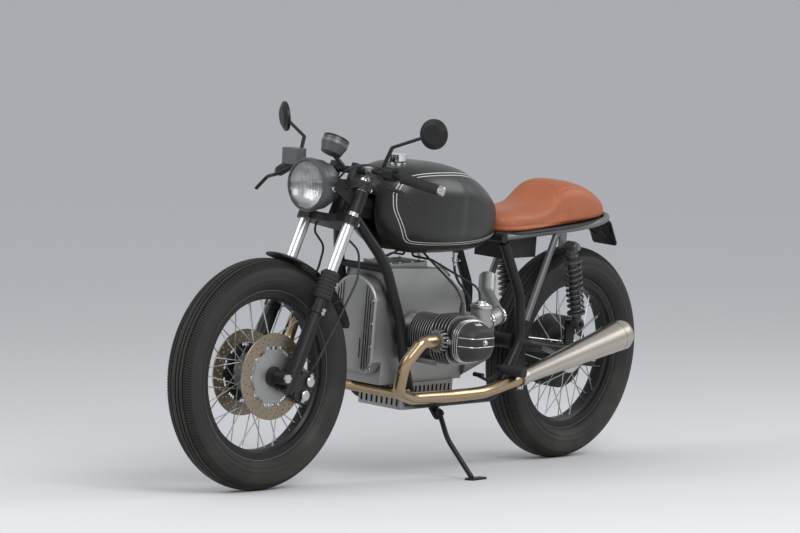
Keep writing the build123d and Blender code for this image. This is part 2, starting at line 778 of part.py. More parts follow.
with BuildPart() as front_cover:
    with BuildSketch(Plane.YZ.offset(case_front)):
        with BuildLine():
            Polyline((-84, 560), (-84, 372), (-62, 336), (62, 336), (84, 372), (84, 560))
            ThreePointArc((84, 560), (0, 632), (-84, 560))
        make_face()
    extrude(amount=52)
    fillet(front_cover.faces().sort_by(Axis.X)[-1].edges(), 8)
    for side in (1, -1):
        for y, low, high in cover_flutes:
            with BuildSketch(Plane.YZ.offset(case_front + 46)):
                with Locations((side * y, (low + high) / 2)):
                    RectangleRounded(3.5, high - low, 1.6)
            extrude(amount=10)
    with BuildSketch(Plane.YZ.offset(case_front + 52)):
        with Locations((34, 412), (44, 412), (54, 412)):
            RectangleRounded(4.5, 62, 2)
    extrude(amount=-6, mode=Mode.SUBTRACT)
finish(front_cover, "front_cover")

with BuildPart() as oil_pan:
    with BuildSketch(Plane.XY.offset(case_bottom)):
        with Locations((770, 0)):
            RectangleRounded(250, 176, 12)
    extrude(amount=-pan_depth)
    groove_z = case_bottom - pan_depth / 2
    for side in (1, -1):
        with BuildSketch(side_view(770, side * 94, groove_z)):
            with GridLocations(20, 1, 11, 1):
                Rectangle(8, pan_depth - 20)
        extrude(amount=side * 12, mode=Mode.SUBTRACT)
    with BuildSketch(Plane.YZ.offset(770 + 131)):
        with Locations((0, groove_z)):
            with GridLocations(20, 1, 8, 1):
                Rectangle(8, pan_depth - 20)
    extrude(amount=-12, mode=Mode.SUBTRACT)
finish(oil_pan, "oil_pan")

with BuildPart() as gearbox:
    with BuildSketch(Plane.YZ.offset(case_rear)):
        with Locations((0, 405)):
            RectangleRounded(190, 210, 40)
    with BuildSketch(Plane.YZ.offset(430)):
        with Locations((0, 405)):
            RectangleRounded(120, 140, 40)
    loft()
finish(gearbox, "gearbox")

with BuildPart() as cylinders:
    for side in (1, -1):
        centre_x = crank_x + side * cylinder_stagger / 2
        with BuildSketch(side_view(centre_x, side * barrel_y, crank_z)):
            Circle(50)
        extrude(amount=-side * (head_y - barrel_y))
        for fin in range(fin_count):
            with BuildSketch(side_view(centre_x, side * (barrel_y + 7 + fin * fin_pitch), crank_z)):
                Circle(fin_radius)
            extrude(amount=-side * 2.6)
finish(cylinders, "cylinders")

# A point on a side's intake line, at a distance behind the head's centre
def intake_point(side, distance):
    start = Vector(crank_x + side * cylinder_stagger / 2, side * 262, crank_z + 12)
    along = Vector(-0.974, -side * 0.145, 0.175).normalized()
    return start + along * distance


with BuildPart() as cylinder_heads:
    for side in (1, -1):
        centre_x = crank_x + side * cylinder_stagger / 2
        with BuildSketch(side_view(centre_x, side * (head_y + seat_gap), crank_z)):
            RectangleRounded(124, 118, 40)
        extrude(amount=-side * (cover_y - head_y - seat_gap))
        for fin in range(6):
            with BuildSketch(side_view(centre_x, side * (head_y + 4 + fin * 12), crank_z)):
                RectangleRounded(160, 150, 52)
            extrude(amount=-side * 3)
        rod((centre_x, side * 267, crank_z), (centre_x + 103, side * 267, crank_z), 27)
        with BuildSketch(Plane.YZ.offset(centre_x + 84)):
            with Locations((side * 267, crank_z)):
                with PolarLocations(30, port_nut_fins):
                    Rectangle(12, 5)
        extrude(amount=17)
        rod(intake_point(side, 0), intake_point(side, 90), 24)
finish(cylinder_heads, "cylinder_heads")

with BuildPart() as valve_covers:
    for side in (1, -1):
        centre_x = crank_x + side * cylinder_stagger / 2
        with BuildSketch(side_view(centre_x, side * cover_y, crank_z)):
            RectangleRounded(150, 128, 58)
        with BuildSketch(side_view(centre_x, side * (cover_end_y - 8), crank_z)):
            RectangleRounded(118, 100, 46)
        loft()
        with BuildSketch(side_view(centre_x, side * (cover_end_y - 8), crank_z)):
            RectangleRounded(118, 100, 46)
        extrude(amount=-side * 8, taper=30)
        with BuildPart(mode=Mode.PRIVATE) as cover_ribs:
            with BuildSketch(side_view(centre_x, side * (cover_y + 8), crank_z)):
                RectangleRounded(151, 130, 58)
            with BuildSketch(side_view(centre_x, side * (cover_end_y - 4), crank_z)):
                RectangleRounded(124, 106, 46)
            loft()
            with BuildSketch(side_view(centre_x, side * cover_y, crank_z)):
                with Locations((0, cover_rib_low), (0, cover_rib_high)):
                    Rectangle(160, 4)
            extrude(amount=-side * 80, mode=Mode.INTERSECT)
        add(cover_ribs.part)
finish(valve_covers, "valve_covers")

with BuildPart() as pushrod_tubes:
    for side in (1, -1):
        centre_x = crank_x + side * cylinder_stagger / 2
        for step in (-26, 26):
            low = (centre_x + step, side * case_half_width, crank_z - 78)
            rod(low, (centre_x + step, side * head_y, crank_z - 78), 9)
finish(pushrod_tubes, "pushrod_tubes")

with BuildPart() as carburettors:
    for side in (1, -1):
        rod(intake_point(side, 90 + seat_gap), intake_point(side, 190), 27)
        body = intake_point(side, 138)
        rod(body + Vector(0, 0, 56), body - Vector(0, 0, 54), 31)
finish(carburettors, "carburettors")

# Left throttle cable from the carburettor's top to the backbone
cable_radius = 3.5
cable_points = [(744, 241, 552), (744, 238, 606), (792, 78, 676), (810, 16, 680), (810, 12, 792)]
with BuildPart() as throttle_cables:
    for side in (1, -1):
        bent_tube(on_side(cable_points, side), [40, 40, 10], cable_radius)
        rod(on_side(cable_points, side)[0], on_side([(744, 240, 572)], side)[0], 6)
    add(carburettors.part, mode=Mode.SUBTRACT)
    add(frame_spine.part, mode=Mode.SUBTRACT)
finish(throttle_cables, "throttle_cables")

with BuildPart() as intake_tubes:
    for side in (1, -1):
        bent_tube(
            [
                intake_point(side, 190 + seat_gap), intake_point(side, 240),
                (560, side * 120, 560), (516, side * 84, 612),
            ],
            [50, 60], 26,
        )
finish(intake_tubes, "intake_tubes")

# Exhaust
muffler_front = Vector(440, 192, 308)
muffler_rear = Vector(-14, 222, 424)
muffler_axis = (muffler_rear - muffler_front).normalized()
header_join = muffler_front - muffler_axis * 44
header_end = muffler_front - muffler_axis * seat_gap
header_points = [
    (975.3, 267, 462), (1040, 267, 462), (1092, 246, 392), (1060, 205, 300), (960, 176, 272),
    (760, 168, 266), (600, 172, 268), tuple(header_join), tuple(header_end),
]
with BuildPart() as header_pipes:
    for side in (1, -1):
        shift = (side - 1) * cylinder_stagger / 2
        points = [(x + shift if y > 240 else x, side * y, z) for x, y, z in header_points]
        bent_tube(points, [30, 50, 60, 120, 400, 300, 80], header_radius)
finish(header_pipes, "header_pipes")

with BuildPart() as balance_pipe:
    rod((940, balance_half, 274), (940, -balance_half, 274), balance_radius)
    for side in (1, -1):
        rod((940, side * (balance_half - 26), 274), (940, side * (balance_half - 40), 274), balance_radius + 4)
    add(header_pipes.part, mode=Mode.SUBTRACT)
finish(balance_pipe, "balance_pipe")

with BuildPart() as mufflers:
    for side in (1, -1):
        start = Vector(muffler_front.X, side * muffler_front.Y, muffler_front.Z)
        end = Vector(muffler_rear.X, side * muffler_rear.Y, muffler_rear.Z)
        along = end - start
        with BuildSketch(Plane(origin=start, z_dir=along)):
            Circle(muffler_small)
        with BuildSketch(Plane(origin=end, z_dir=along)):
            Circle(muffler_large)
        loft()
        with BuildSketch(Plane(origin=end, z_dir=along)):
            Circle(muffler_large)
        extrude(amount=16, taper=28)
        with BuildSketch(Plane(origin=end + along * 0.04, z_dir=-along)):
            Circle(muffler_large - 14)
        extrude(amount=90, mode=Mode.SUBTRACT)
        rod(start + along * 0.44, Vector(252, side * (arm_y - 10), 384), 8)
    add(swingarm.part, mode=Mode.SUBTRACT)
finish(mufflers, "mufflers")

# Fuel tank: rounded sections from the nose to the seat
tank_sections = [
    # x, bottom, top, half width, corner
    (tank_front, 800, 900, 46, 40),
    (1018, 773, 924, 70, 50),
    (996, 742, 950, 98, 62),
    (962, 718, 965, 122, 70),
    (920, 702, 974, 138, 76),
    (868, 695, 978, 148, 81),
    (810, 692, 980, 152, 84),
    (750, 693, 977, 151, 84),
    (690, 694, 970, 150, 84),
    (634, 698, 954, 141, 81),
    (580, 706, 930, 124, 74),
    (536, 721, 902, 106, 66),
    (tank_rear, 742, 870, 84, 56),
]
with BuildPart() as fuel_tank:
    for x, low, high, half, corner in tank_sections:
        with BuildSketch(Plane.YZ.offset(x)):
            with Locations((0, (low + high) / 2)):
                RectangleRounded(2 * half, high - low, corner)
    loft(ruled=True)
    with BuildSketch(side_view(0, 0, 0)):
        with BuildLine():
            Polyline((1060, 660), (1060, 884), (470, 772), (470, 660), close=True)
        make_face()
    extrude(amount=tunnel_half, both=True, mode=Mode.SUBTRACT)
finish(fuel_tank, "fuel_tank")

with BuildPart() as tank_cap:
    with BuildSketch(Plane.XY.offset(960)):
        with Locations((900, 0)):
            Circle(30)
    extrude(amount=34)
    add(fuel_tank.part, mode=Mode.SUBTRACT)
finish(tank_cap, "tank_cap")

# Seat: side profile and plan profile crossed, with a hump at the tail
with BuildPart() as seat:
    with BuildSketch(side_view(0, 0, 0)):
        with BuildLine():
            nose = Line((seat_front, 776), (seat_front - 4, 828))
            dip = ThreePointArc(nose @ 1, (400, 832), (316, 846))
            rise = ThreePointArc(dip @ 1, (230, 884), (155, 893))
            back = ThreePointArc(rise @ 1, (0, 880), (-84, 840))
            tail = ThreePointArc(back @ 1, (-116, 814), (seat_rear, 798))
            pan = rail_radius + seat_gap + 0.3
            Polyline(tail @ 1, (-60, 762 + pan), (240, 744 + pan), (454, 734.5 + pan), (460, 770), nose @ 0)
        make_face()
    extrude(amount=seat_half_width + 10, both=True)
    with BuildSketch(Plane.XY.offset(700)):
        with BuildLine():
            left = Polyline((seat_front, 88), (380, seat_half_width), (60, seat_half_width), (-40, 88))
            tip = ThreePointArc(left @ 1, (seat_rear, 0), (-40, -88))
            Polyline(tip @ 1, (60, -seat_half_width), (380, -seat_half_width), (seat_front, -88), left @ 0)
        make_face()
    extrude(amount=300, mode=Mode.INTERSECT)
finish(seat, "seat")

with BuildPart() as dampers:
    for side in (1, -1):
        top = Vector(shock_top[0], side * shock_y, shock_top[1])
        bottom = Vector(shock_bottom[0], side * shock_y, shock_bottom[1])
        along = (top - bottom).normalized()
        rod(bottom, top, 15)
        for eye in (top, bottom):
            with BuildSketch(side_view(eye.X, eye.Y, eye.Z)):
                Circle(17)
            extrude(amount=14, both=True)
            with BuildSketch(side_view(eye.X, eye.Y, eye.Z)):
                Circle(8 + seat_gap)
            extrude(amount=40, both=True, mode=Mode.SUBTRACT)
        for height in (34, 206):
            with BuildSketch(Plane(origin=bottom + along * height, z_dir=along)):
                Circle(29)
            extrude(amount=6)
finish(dampers, "dampers")

with BuildPart() as springs:
    for side in (1, -1):
        top = Vector(shock_top[0], side * shock_y, shock_top[1])
        bottom = Vector(shock_bottom[0], side * shock_y, shock_bottom[1])
        along = (top - bottom).normalized()
        with BuildSketch(Plane(origin=bottom + along * (40 + seat_gap), z_dir=along)):
            Circle(27)
            Circle(19, mode=Mode.SUBTRACT)
        extrude(amount=166 - 2 * seat_gap)
finish(springs, "springs")

with BuildPart() as foot_controls:
    for side in (1, -1):
        rod((486, side * 132, 330), (486, side * 232, 330), 12)
        rod((486, side * 138, 330), (411, side * 112, 330), 9)
        bent_tube(on_side([(492, 148, 322), (560, 152, 300), (628, 156, 324)], side), [40], 5)
        rod(on_side([(628, 150, 324)], side)[0], on_side([(628, 186, 324)], side)[0], 7)
    add(rear_uprights.part, mode=Mode.SUBTRACT)
finish(foot_controls, "foot_controls")

with BuildPart() as tail_bracket:
    with BuildSketch(Plane.XY.offset(hoop_z - rail_radius - seat_gap)):
        with Locations((-150, 0)):
            Rectangle(60, 70)
    extrude(amount=-4)
    for y in (-22, 22):
        rod((-172, y, 762), (-192, y, 746), 4)
        rod((-140, y, 762), (-134, y, 728), 4)
        rod((-134, y, 728), (-186, y, 706), 4)
    with BuildSketch(Plane(origin=(-196, 0, 716), x_dir=(0, 1, 0), z_dir=(-0.86, 0, 0.5))):
        RectangleRounded(96, 92, 5)
    extrude(amount=4, both=True)
finish(tail_bracket, "tail_bracket")

with BuildPart() as battery_box:
    with BuildSketch(Plane.XY.offset(660)):
        with Locations((330, 0)):
            RectangleRounded(170, 120, 10)
    extrude(amount=76)
    with BuildSketch(Plane.XY.offset(735)):
        with Locations((330, 0)):
            Rectangle(90, 2 * (rail_y - rail_radius - seat_gap))
    extrude(amount=5)
finish(battery_box, "battery_box")

# Side stand: an eye on the tilted pin, a leg and a foot flat on the floor
with BuildPart() as side_stand:
    rod(stand_pin - stand_axis * 5, stand_pin + stand_axis * 5, 14)
    ankle = stand_shoe + stand_floor.z_dir * foot_thickness
    leg_line = ankle - stand_pin
    knee = stand_pin + leg_line * 0.4 + Vector(stand_bow, 0, 0)
    bent_tube([stand_pin, knee, ankle], [120], stand_leg_radius)
    with BuildSketch(Plane(origin=stand_pin, z_dir=stand_axis)):
        Circle(stand_pin_radius + seat_gap)
    extrude(amount=20, both=True, mode=Mode.SUBTRACT)
    with BuildSketch(stand_floor):
        with Locations((-stand_shoe_length / 2 + 18, 0)):
            RectangleRounded(stand_shoe_length, 34, 8)
    extrude(amount=foot_thickness)
finish(side_stand, "side_stand")
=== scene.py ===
import bpy
import math
from mathutils import Matrix, Vector
from mathutils.bvhtree import BVHTree


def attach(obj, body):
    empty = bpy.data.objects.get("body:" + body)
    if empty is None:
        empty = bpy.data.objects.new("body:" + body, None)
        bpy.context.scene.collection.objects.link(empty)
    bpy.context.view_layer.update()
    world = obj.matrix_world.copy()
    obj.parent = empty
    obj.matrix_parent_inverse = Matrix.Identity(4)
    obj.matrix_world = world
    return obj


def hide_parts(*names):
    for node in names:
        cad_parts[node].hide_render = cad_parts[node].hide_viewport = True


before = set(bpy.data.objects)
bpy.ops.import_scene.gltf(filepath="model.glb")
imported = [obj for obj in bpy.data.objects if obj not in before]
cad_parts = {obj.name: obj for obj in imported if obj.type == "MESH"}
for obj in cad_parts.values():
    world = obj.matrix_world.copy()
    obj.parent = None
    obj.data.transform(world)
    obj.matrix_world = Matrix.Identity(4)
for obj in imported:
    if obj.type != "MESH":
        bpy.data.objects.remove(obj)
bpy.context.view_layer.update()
print("frame loaded, nodes:", len(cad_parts))

# Camera at the photograph's viewing angle, lengths in metres
camera = {
    "focalPixels": 5616.0, "imageWidth": 800.0, "sensor": 36.0,
    "place": (14.0991, 10.8844, 1.6821), "yaw": 219.237, "pitch": -3.472, "roll": 0.4,
}


def makeCamera(settings):
    yaw, pitch, roll = (math.radians(settings[key]) for key in ("yaw", "pitch", "roll"))
    look = Vector((math.cos(yaw) * math.cos(pitch), math.sin(yaw) * math.cos(pitch), math.sin(pitch)))
    level = Vector((math.sin(yaw), -math.cos(yaw), 0))
    upright = level.cross(look)
    right = level * math.cos(roll) + upright * math.sin(roll)
    up = upright * math.cos(roll) - level * math.sin(roll)
    bpy.ops.object.camera_add(location=settings["place"])
    view = bpy.context.object
    view.name = "photoCamera"
    turn = Matrix((right, up, -look)).transposed()
    view.rotation_euler = turn.to_euler()
    view.data.sensor_width = settings["sensor"]
    view.data.lens = settings["focalPixels"] / settings["imageWidth"] * settings["sensor"]
    view.data.clip_end = 400
    bpy.context.scene.camera = view


makeCamera(camera)
print("camera set")

# Shader helpers
def addNode(tree, kind, inputs=None, **values):
    node = tree.nodes.new(kind)
    for key, value in values.items():
        setattr(node, key, value)
    for socket, value in (inputs or {}).items():
        node.inputs[socket].default_value = value
    return node


def link(tree, first, output, second, socket):
    tree.links.new(first.outputs[output], second.inputs[socket])


def addRange(tree, low, high, bottom=0.0, top=1.0):
    return addNode(tree, "ShaderNodeMapRange", {"From Min": low, "From Max": high, "To Min": bottom,
                                                "To Max": top})


def makeGroup(name, inputs, outputs):
    group = bpy.data.node_groups.new(name, "ShaderNodeTree")
    for label, value in inputs.items():
        socket = group.interface.new_socket(name=label, in_out="INPUT", socket_type="NodeSocketFloat")
        socket.default_value = value
    for label in outputs:
        group.interface.new_socket(name=label, in_out="OUTPUT", socket_type="NodeSocketFloat")
    return group, addNode(group, "NodeGroupInput"), addNode(group, "NodeGroupOutput")


# Breaks a mask up with noise and hands it out
def breakUp(group, source, result, scaleLabel, detail, span, mask):
    place = addNode(group, "ShaderNodeTexCoord")
    noise = addNode(group, "ShaderNodeTexNoise", {"Detail": detail})
    gate = addRange(group, *span)
    both = addNode(group, "ShaderNodeMath", operation="MULTIPLY")
    link(group, place, "Object", noise, "Vector")
    link(group, source, scaleLabel, noise, "Scale")
    link(group, noise, "Fac", gate, "Value")
    link(group, mask, "Result", both, 0)
    link(group, gate, "Result", both, 1)
    link(group, both, "Value", result, "Mask")


# Fine surface grain: a height for bump and a soft cloud that varies roughness and colour
def makeGrainGroup():
    sockets = {"Scale": 400.0, "Cloud Scale": 6.0, "Detail": 3.0}
    group, source, result = makeGroup("surfaceGrain", sockets, ("Height", "Cloud"))
    place = addNode(group, "ShaderNodeTexCoord")
    fine = addNode(group, "ShaderNodeTexNoise")
    cloud = addNode(group, "ShaderNodeTexNoise", {"Detail": 6})
    for noise in (fine, cloud):
        link(group, place, "Object", noise, "Vector")
    link(group, source, "Scale", fine, "Scale")
    link(group, source, "Detail", fine, "Detail")
    link(group, source, "Cloud Scale", cloud, "Scale")
    link(group, fine, "Fac", result, "Height")
    link(group, cloud, "Fac", result, "Cloud")
    return group


# Worn edges: 1 where the surface turns sharply, broken up by noise
def makeEdgeGroup():
    group, source, result = makeGroup("edgeWear", {"Width": 0.0015, "Break Scale": 60.0}, ("Mask",))
    rounded = addNode(group, "ShaderNodeBevel", samples=4)
    flat = addNode(group, "ShaderNodeNewGeometry")
    turn = addNode(group, "ShaderNodeVectorMath", operation="DOT_PRODUCT")
    spread = addRange(group, 0.995, 0.82)
    link(group, source, "Width", rounded, "Radius")
    link(group, rounded, "Normal", turn, 0)
    link(group, flat, "Normal", turn, 1)
    link(group, turn, "Value", spread, "Value")
    breakUp(group, source, result, "Break Scale", 5, (0.42, 0.6), spread)
    return group


# Crevice shade: 1 deep between pieces and in grooves, from ambient occlusion; it darkens the colour there as
# painted shade
def makeCreviceGroup():
    group, source, result = makeGroup("crevice", {"Reach": 0.012}, ("Mask",))
    hollow = addNode(group, "ShaderNodeAmbientOcclusion", samples=6)
    spread = addRange(group, 0.92, 0.35)
    link(group, source, "Reach", hollow, "Distance")
    link(group, hollow, "AO", spread, "Value")
    link(group, spread, "Result", result, "Mask")
    return group


# Road dust: settles low down, in patches
def makeDustGroup():
    group, source, result = makeGroup("roadDust", {"Top": 0.5, "Scale": 9.0}, ("Mask",))
    place = addNode(group, "ShaderNodeTexCoord")
    apart = addNode(group, "ShaderNodeSeparateXYZ")
    low = addRange(group, 0.0, 1.0, 1.0, 0.0)
    link(group, place, "Object", apart, "Vector")
    link(group, apart, "Z", low, "Value")
    link(group, source, "Top", low, "From Max")
    breakUp(group, source, result, "Scale", 8, (0.38, 0.72), low)
    return group


groups = {"grain": makeGrainGroup(), "edge": makeEdgeGroup(), "dust": makeDustGroup(),
          "crevice": makeCreviceGroup()}


def placeGroup(tree, key, **values):
    node = addNode(tree, "ShaderNodeGroup", node_tree=groups[key])
    for label, value in values.items():
        node.inputs[label.replace("_", " ")].default_value = value
    return node


def mixColour(tree, factor, first, second):
    mix = addNode(tree, "ShaderNodeMix", data_type="RGBA")
    for socket, value in ((mix.inputs["Factor"], factor), (mix.inputs[6], first), (mix.inputs[7], second)):
        if isinstance(value, bpy.types.NodeSocket):
            tree.links.new(value, socket)
        else:
            socket.default_value = (*value, 1)
    return mix.outputs[2]


def scaled(tree, value, amount):
    node = addNode(tree, "ShaderNodeMath", {1: amount}, operation="MULTIPLY")
    tree.links.new(value, node.inputs[0])
    return node.outputs["Value"]


def addBump(tree, height, shader, strength, distance):
    bump = addNode(tree, "ShaderNodeBump", {"Strength": strength, "Distance": distance})
    tree.links.new(height, bump.inputs["Height"])
    link(tree, bump, "Normal", shader, "Normal")


def varyRoughness(tree, cloud, shader, span):
    rough = addRange(tree, 0.0, 1.0, *span)
    tree.links.new(cloud, rough.inputs["Value"])
    link(tree, rough, "Result", shader, "Roughness")


def newMaterial(name, **sockets):
    material = bpy.data.materials.new(name)
    material.use_nodes = True
    shader = material.node_tree.nodes["Principled BSDF"]
    for label, value in sockets.items():
        shader.inputs[label.replace("_", " ")].default_value = value
    return material, material.node_tree, shader


# What a finish has unless it says otherwise. A colour that is one number is a grey.
usual = {"metal": 0.0, "grain": 900, "depth": 0.05, "edge": 0.8, "edgeAmount": 0.2, "coat": 0.0,
         "gloss": 0.5, "dust": 0.0, "creviceShade": 0.0, "reach": 0.012}
# Finishes: base and cloud colours, roughness range, grain size and depth, worn edges, road dust, and painted
# shade darkening crevices and grooves
finishes = {
    "satinBlackPaint": {"base": (0.009, 0.009, 0.0092), "cloud": 0.0145, "rough": (0.36, 0.5), "edge": 0.16,
                        "edgeAmount": 0.3, "coat": 0.04, "gloss": 0.26},
    "tankBlack": {"base": (0.0135, 0.0142, 0.0125), "cloud": (0.019, 0.0195, 0.0175), "rough": (0.3, 0.4),
                  "grain": 1200, "depth": 0.02, "edge": 0.08, "coat": 0.12, "gloss": 0.36},
    "wrinkleBlack": {"base": (0.016, 0.016, 0.0165), "cloud": 0.028, "rough": (0.42, 0.58), "grain": 700,
                     "depth": 0.25, "edge": (0.3, 0.3, 0.29), "edgeAmount": 0.5, "gloss": 0.32},
    "railGrey": {"base": (0.1, 0.102, 0.104), "cloud": 0.15, "rough": (0.35, 0.5), "metal": 0.3,
                 "depth": 0.04, "edge": 0.3, "edgeAmount": 0.3, "coat": 0.1},
    "lampGrey": {"base": (0.05, 0.052, 0.055), "cloud": (0.075, 0.077, 0.08), "rough": (0.34, 0.46),
                 "metal": 0.2, "depth": 0.04, "edge": 0.16, "edgeAmount": 0.3, "coat": 0.1},
    # castAlloy and tyreRubber carry painted shade in their recesses and grooves, through the crevice mask
    # and its reach
    "castAlloy": {"base": (0.41, 0.41, 0.4), "cloud": (0.27, 0.27, 0.265), "rough": (0.36, 0.56),
                  "metal": 0.85, "grain": 800, "depth": 0.22, "edge": (0.72, 0.71, 0.69), "edgeAmount": 0.6,
                  "dust": 0.25, "creviceShade": 0.75, "reach": 0.02},
    "hubAlloy": {"base": 0.62, "cloud": (0.45, 0.45, 0.44), "rough": (0.24, 0.4), "metal": 1.0,
                 "edgeAmount": 0.4, "dust": 0.15},
    "discSteel": {"base": (0.34, 0.285, 0.22), "cloud": (0.21, 0.17, 0.125), "rough": (0.3, 0.45),
                  "metal": 0.9, "grain": 500, "depth": 0.06, "edge": (0.7, 0.68, 0.64), "edgeAmount": 0.5},
    "brightSteel": {"base": 0.6, "cloud": (0.46, 0.46, 0.45), "rough": (0.22, 0.36), "metal": 1.0,
                    "depth": 0.04, "edgeAmount": 0.3},
    "forkChrome": {"base": (0.66, 0.66, 0.665), "cloud": 0.56, "rough": (0.26, 0.34), "metal": 1.0,
                   "grain": 600, "depth": 0.02},
    "chrome": {"base": (0.78, 0.78, 0.79), "cloud": 0.7, "rough": (0.07, 0.14), "metal": 1.0, "grain": 600,
               "depth": 0.01, "edge": 0.85},
    "springBlack": {"base": 0.03, "cloud": 0.045, "rough": (0.28, 0.4), "depth": 0.03, "edge": 0.4,
                    "edgeAmount": 0.5, "coat": 0.2},
    "gripRubber": {"base": 0.022, "cloud": 0.03, "rough": (0.6, 0.75), "grain": 1400, "depth": 0.2,
                   "edge": 0.05, "gloss": 0.25},
    "hoseRubber": {"base": 0.018, "cloud": 0.026, "rough": (0.38, 0.5), "depth": 0.06, "edge": 0.05,
                   "gloss": 0.35},
    "stripeWhite": {"base": (0.62, 0.62, 0.6), "cloud": (0.55, 0.55, 0.53), "rough": (0.35, 0.45),
                    "depth": 0.02, "edge": (0.6, 0.6, 0.58), "edgeAmount": 0.1},
    "needleRed": {"base": (0.55, 0.04, 0.02), "cloud": (0.5, 0.035, 0.02), "rough": (0.35, 0.45),
                  "depth": 0.02, "edge": (0.6, 0.1, 0.08), "edgeAmount": 0.1},
    "reflector": {"base": (0.62, 0.63, 0.64), "cloud": (0.5, 0.51, 0.52), "rough": (0.16, 0.26),
                  "metal": 1.0, "grain": 90, "depth": 0.12, "edge": 0.9, "edgeAmount": 0.1},
    "mirrorFace": {"base": (0.83, 0.85, 0.86), "cloud": (0.8, 0.82, 0.84), "rough": (0.02, 0.05),
                   "metal": 1.0, "grain": 90, "depth": 0.01, "edgeAmount": 0.0},
    "greyPlastic": {"base": (0.075, 0.077, 0.082), "cloud": (0.1, 0.1, 0.105), "rough": (0.42, 0.55),
                    "depth": 0.1, "edge": 0.16},
    "tyreRubber": {"base": (0.019, 0.019, 0.0178), "cloud": (0.03, 0.0295, 0.027), "rough": (0.5, 0.66),
                   "depth": 0.12, "edge": (0.045, 0.044, 0.04), "edgeAmount": 0.4, "dust": 0.12,
                   "gloss": 0.22, "creviceShade": 0.95, "reach": 0.009},
    "headerSteel": {"base": (0.5, 0.385, 0.25), "cloud": (0.37, 0.255, 0.15), "rough": (0.17, 0.3),
                    "metal": 1.0, "grain": 500, "depth": 0.03, "edge": (0.7, 0.6, 0.5)},
    "mufflerSteel": {"base": (0.56, 0.52, 0.47), "cloud": (0.46, 0.41, 0.35), "rough": (0.26, 0.38),
                     "metal": 1.0, "grain": 500, "edge": (0.8, 0.78, 0.75), "edgeAmount": 0.3},
}
# Colours mixed in: real road dust, and a near-black painted shade for crevices and tyre grooves
dustAndShade = {"dust": (0.30, 0.27, 0.22), "crevice": (0.006, 0.0055, 0.005)}


def makeFinish(name, own):
    settings = {**usual, **own}
    base, cloud, worn = (value if isinstance(value, tuple) else (value,) * 3
                         for value in (settings["base"], settings["cloud"], settings["edge"]))
    material, tree, shader = newMaterial(name, Metallic=settings["metal"], Coat_Weight=settings["coat"],
                                         Coat_Roughness=0.25, Specular_IOR_Level=settings["gloss"])
    grain = placeGroup(tree, "grain", Scale=settings["grain"])
    edge = placeGroup(tree, "edge")
    colour = mixColour(tree, grain.outputs["Cloud"], base, cloud)
    colour = mixColour(tree, scaled(tree, edge.outputs["Mask"], settings["edgeAmount"]), colour, worn)
    if settings["dust"]:
        dust = placeGroup(tree, "dust")
        colour = mixColour(tree, scaled(tree, dust.outputs["Mask"], settings["dust"]), colour, dustAndShade["dust"])
    # Painted shade: ambient occlusion darkens the colour in crevices and grooves
    if settings["creviceShade"]:
        crevice = placeGroup(tree, "crevice", Reach=settings["reach"])
        colour = mixColour(tree, scaled(tree, crevice.outputs["Mask"], settings["creviceShade"]), colour,
                           dustAndShade["crevice"])
    tree.links.new(colour, shader.inputs["Base Color"])
    varyRoughness(tree, grain.outputs["Cloud"], shader, settings["rough"])
    addBump(tree, grain.outputs["Height"], shader, settings["depth"], 0.0006)
    return material


materials = {name: makeFinish(name, own) for name, own in finishes.items()}

# Clear lamp glass with upright flutes
lampGlass = {"colour": (0.90, 0.91, 0.91, 1), "rough": 0.04, "bend": 1.45, "flutes": 55, "strength": 0.5,
             "depth": 0.0012}


def makeGlass(settings):
    material, tree, shader = newMaterial("lampGlass", Base_Color=settings["colour"], Transmission_Weight=1,
                                         Roughness=settings["rough"], IOR=settings["bend"])
    place = addNode(tree, "ShaderNodeTexCoord")
    flutes = addNode(tree, "ShaderNodeTexWave", {"Scale": settings["flutes"]}, bands_direction="Y")
    link(tree, place, "Object", flutes, "Vector")
    addBump(tree, flutes.outputs["Fac"], shader, settings["strength"], settings["depth"])
    return material


materials["lampGlass"] = makeGlass(lampGlass)

# Cognac hide with a pebbled grain
hide = {"light": (0.40, 0.118, 0.045), "dark": (0.29, 0.076, 0.026), "rough": (0.42, 0.6), "grain": 260,
        "cloud": 7, "pebbles": 420, "strength": 0.35, "depth": 0.0006}


def makeLeather(settings):
    material, tree, shader = newMaterial("cognacLeather")
    grain = placeGroup(tree, "grain", Scale=settings["grain"], Cloud_Scale=settings["cloud"])
    place = addNode(tree, "ShaderNodeTexCoord")
    pebbles = addNode(tree, "ShaderNodeTexVoronoi", {"Scale": settings["pebbles"]}, feature="SMOOTH_F1")
    link(tree, place, "Object", pebbles, "Vector")
    colour = mixColour(tree, grain.outputs["Cloud"], settings["light"], settings["dark"])
    tree.links.new(colour, shader.inputs["Base Color"])
    varyRoughness(tree, grain.outputs["Cloud"], shader, settings["rough"])
    total = addNode(tree, "ShaderNodeMath", operation="ADD")
    link(tree, pebbles, "Distance", total, 0)
    tree.links.new(scaled(tree, grain.outputs["Height"], 0.5), total.inputs[1])
    addBump(tree, total.outputs["Value"], shader, settings["strength"], settings["depth"])
    return material


materials["leather"] = makeLeather(hide)
print("materials made:", len(materials))

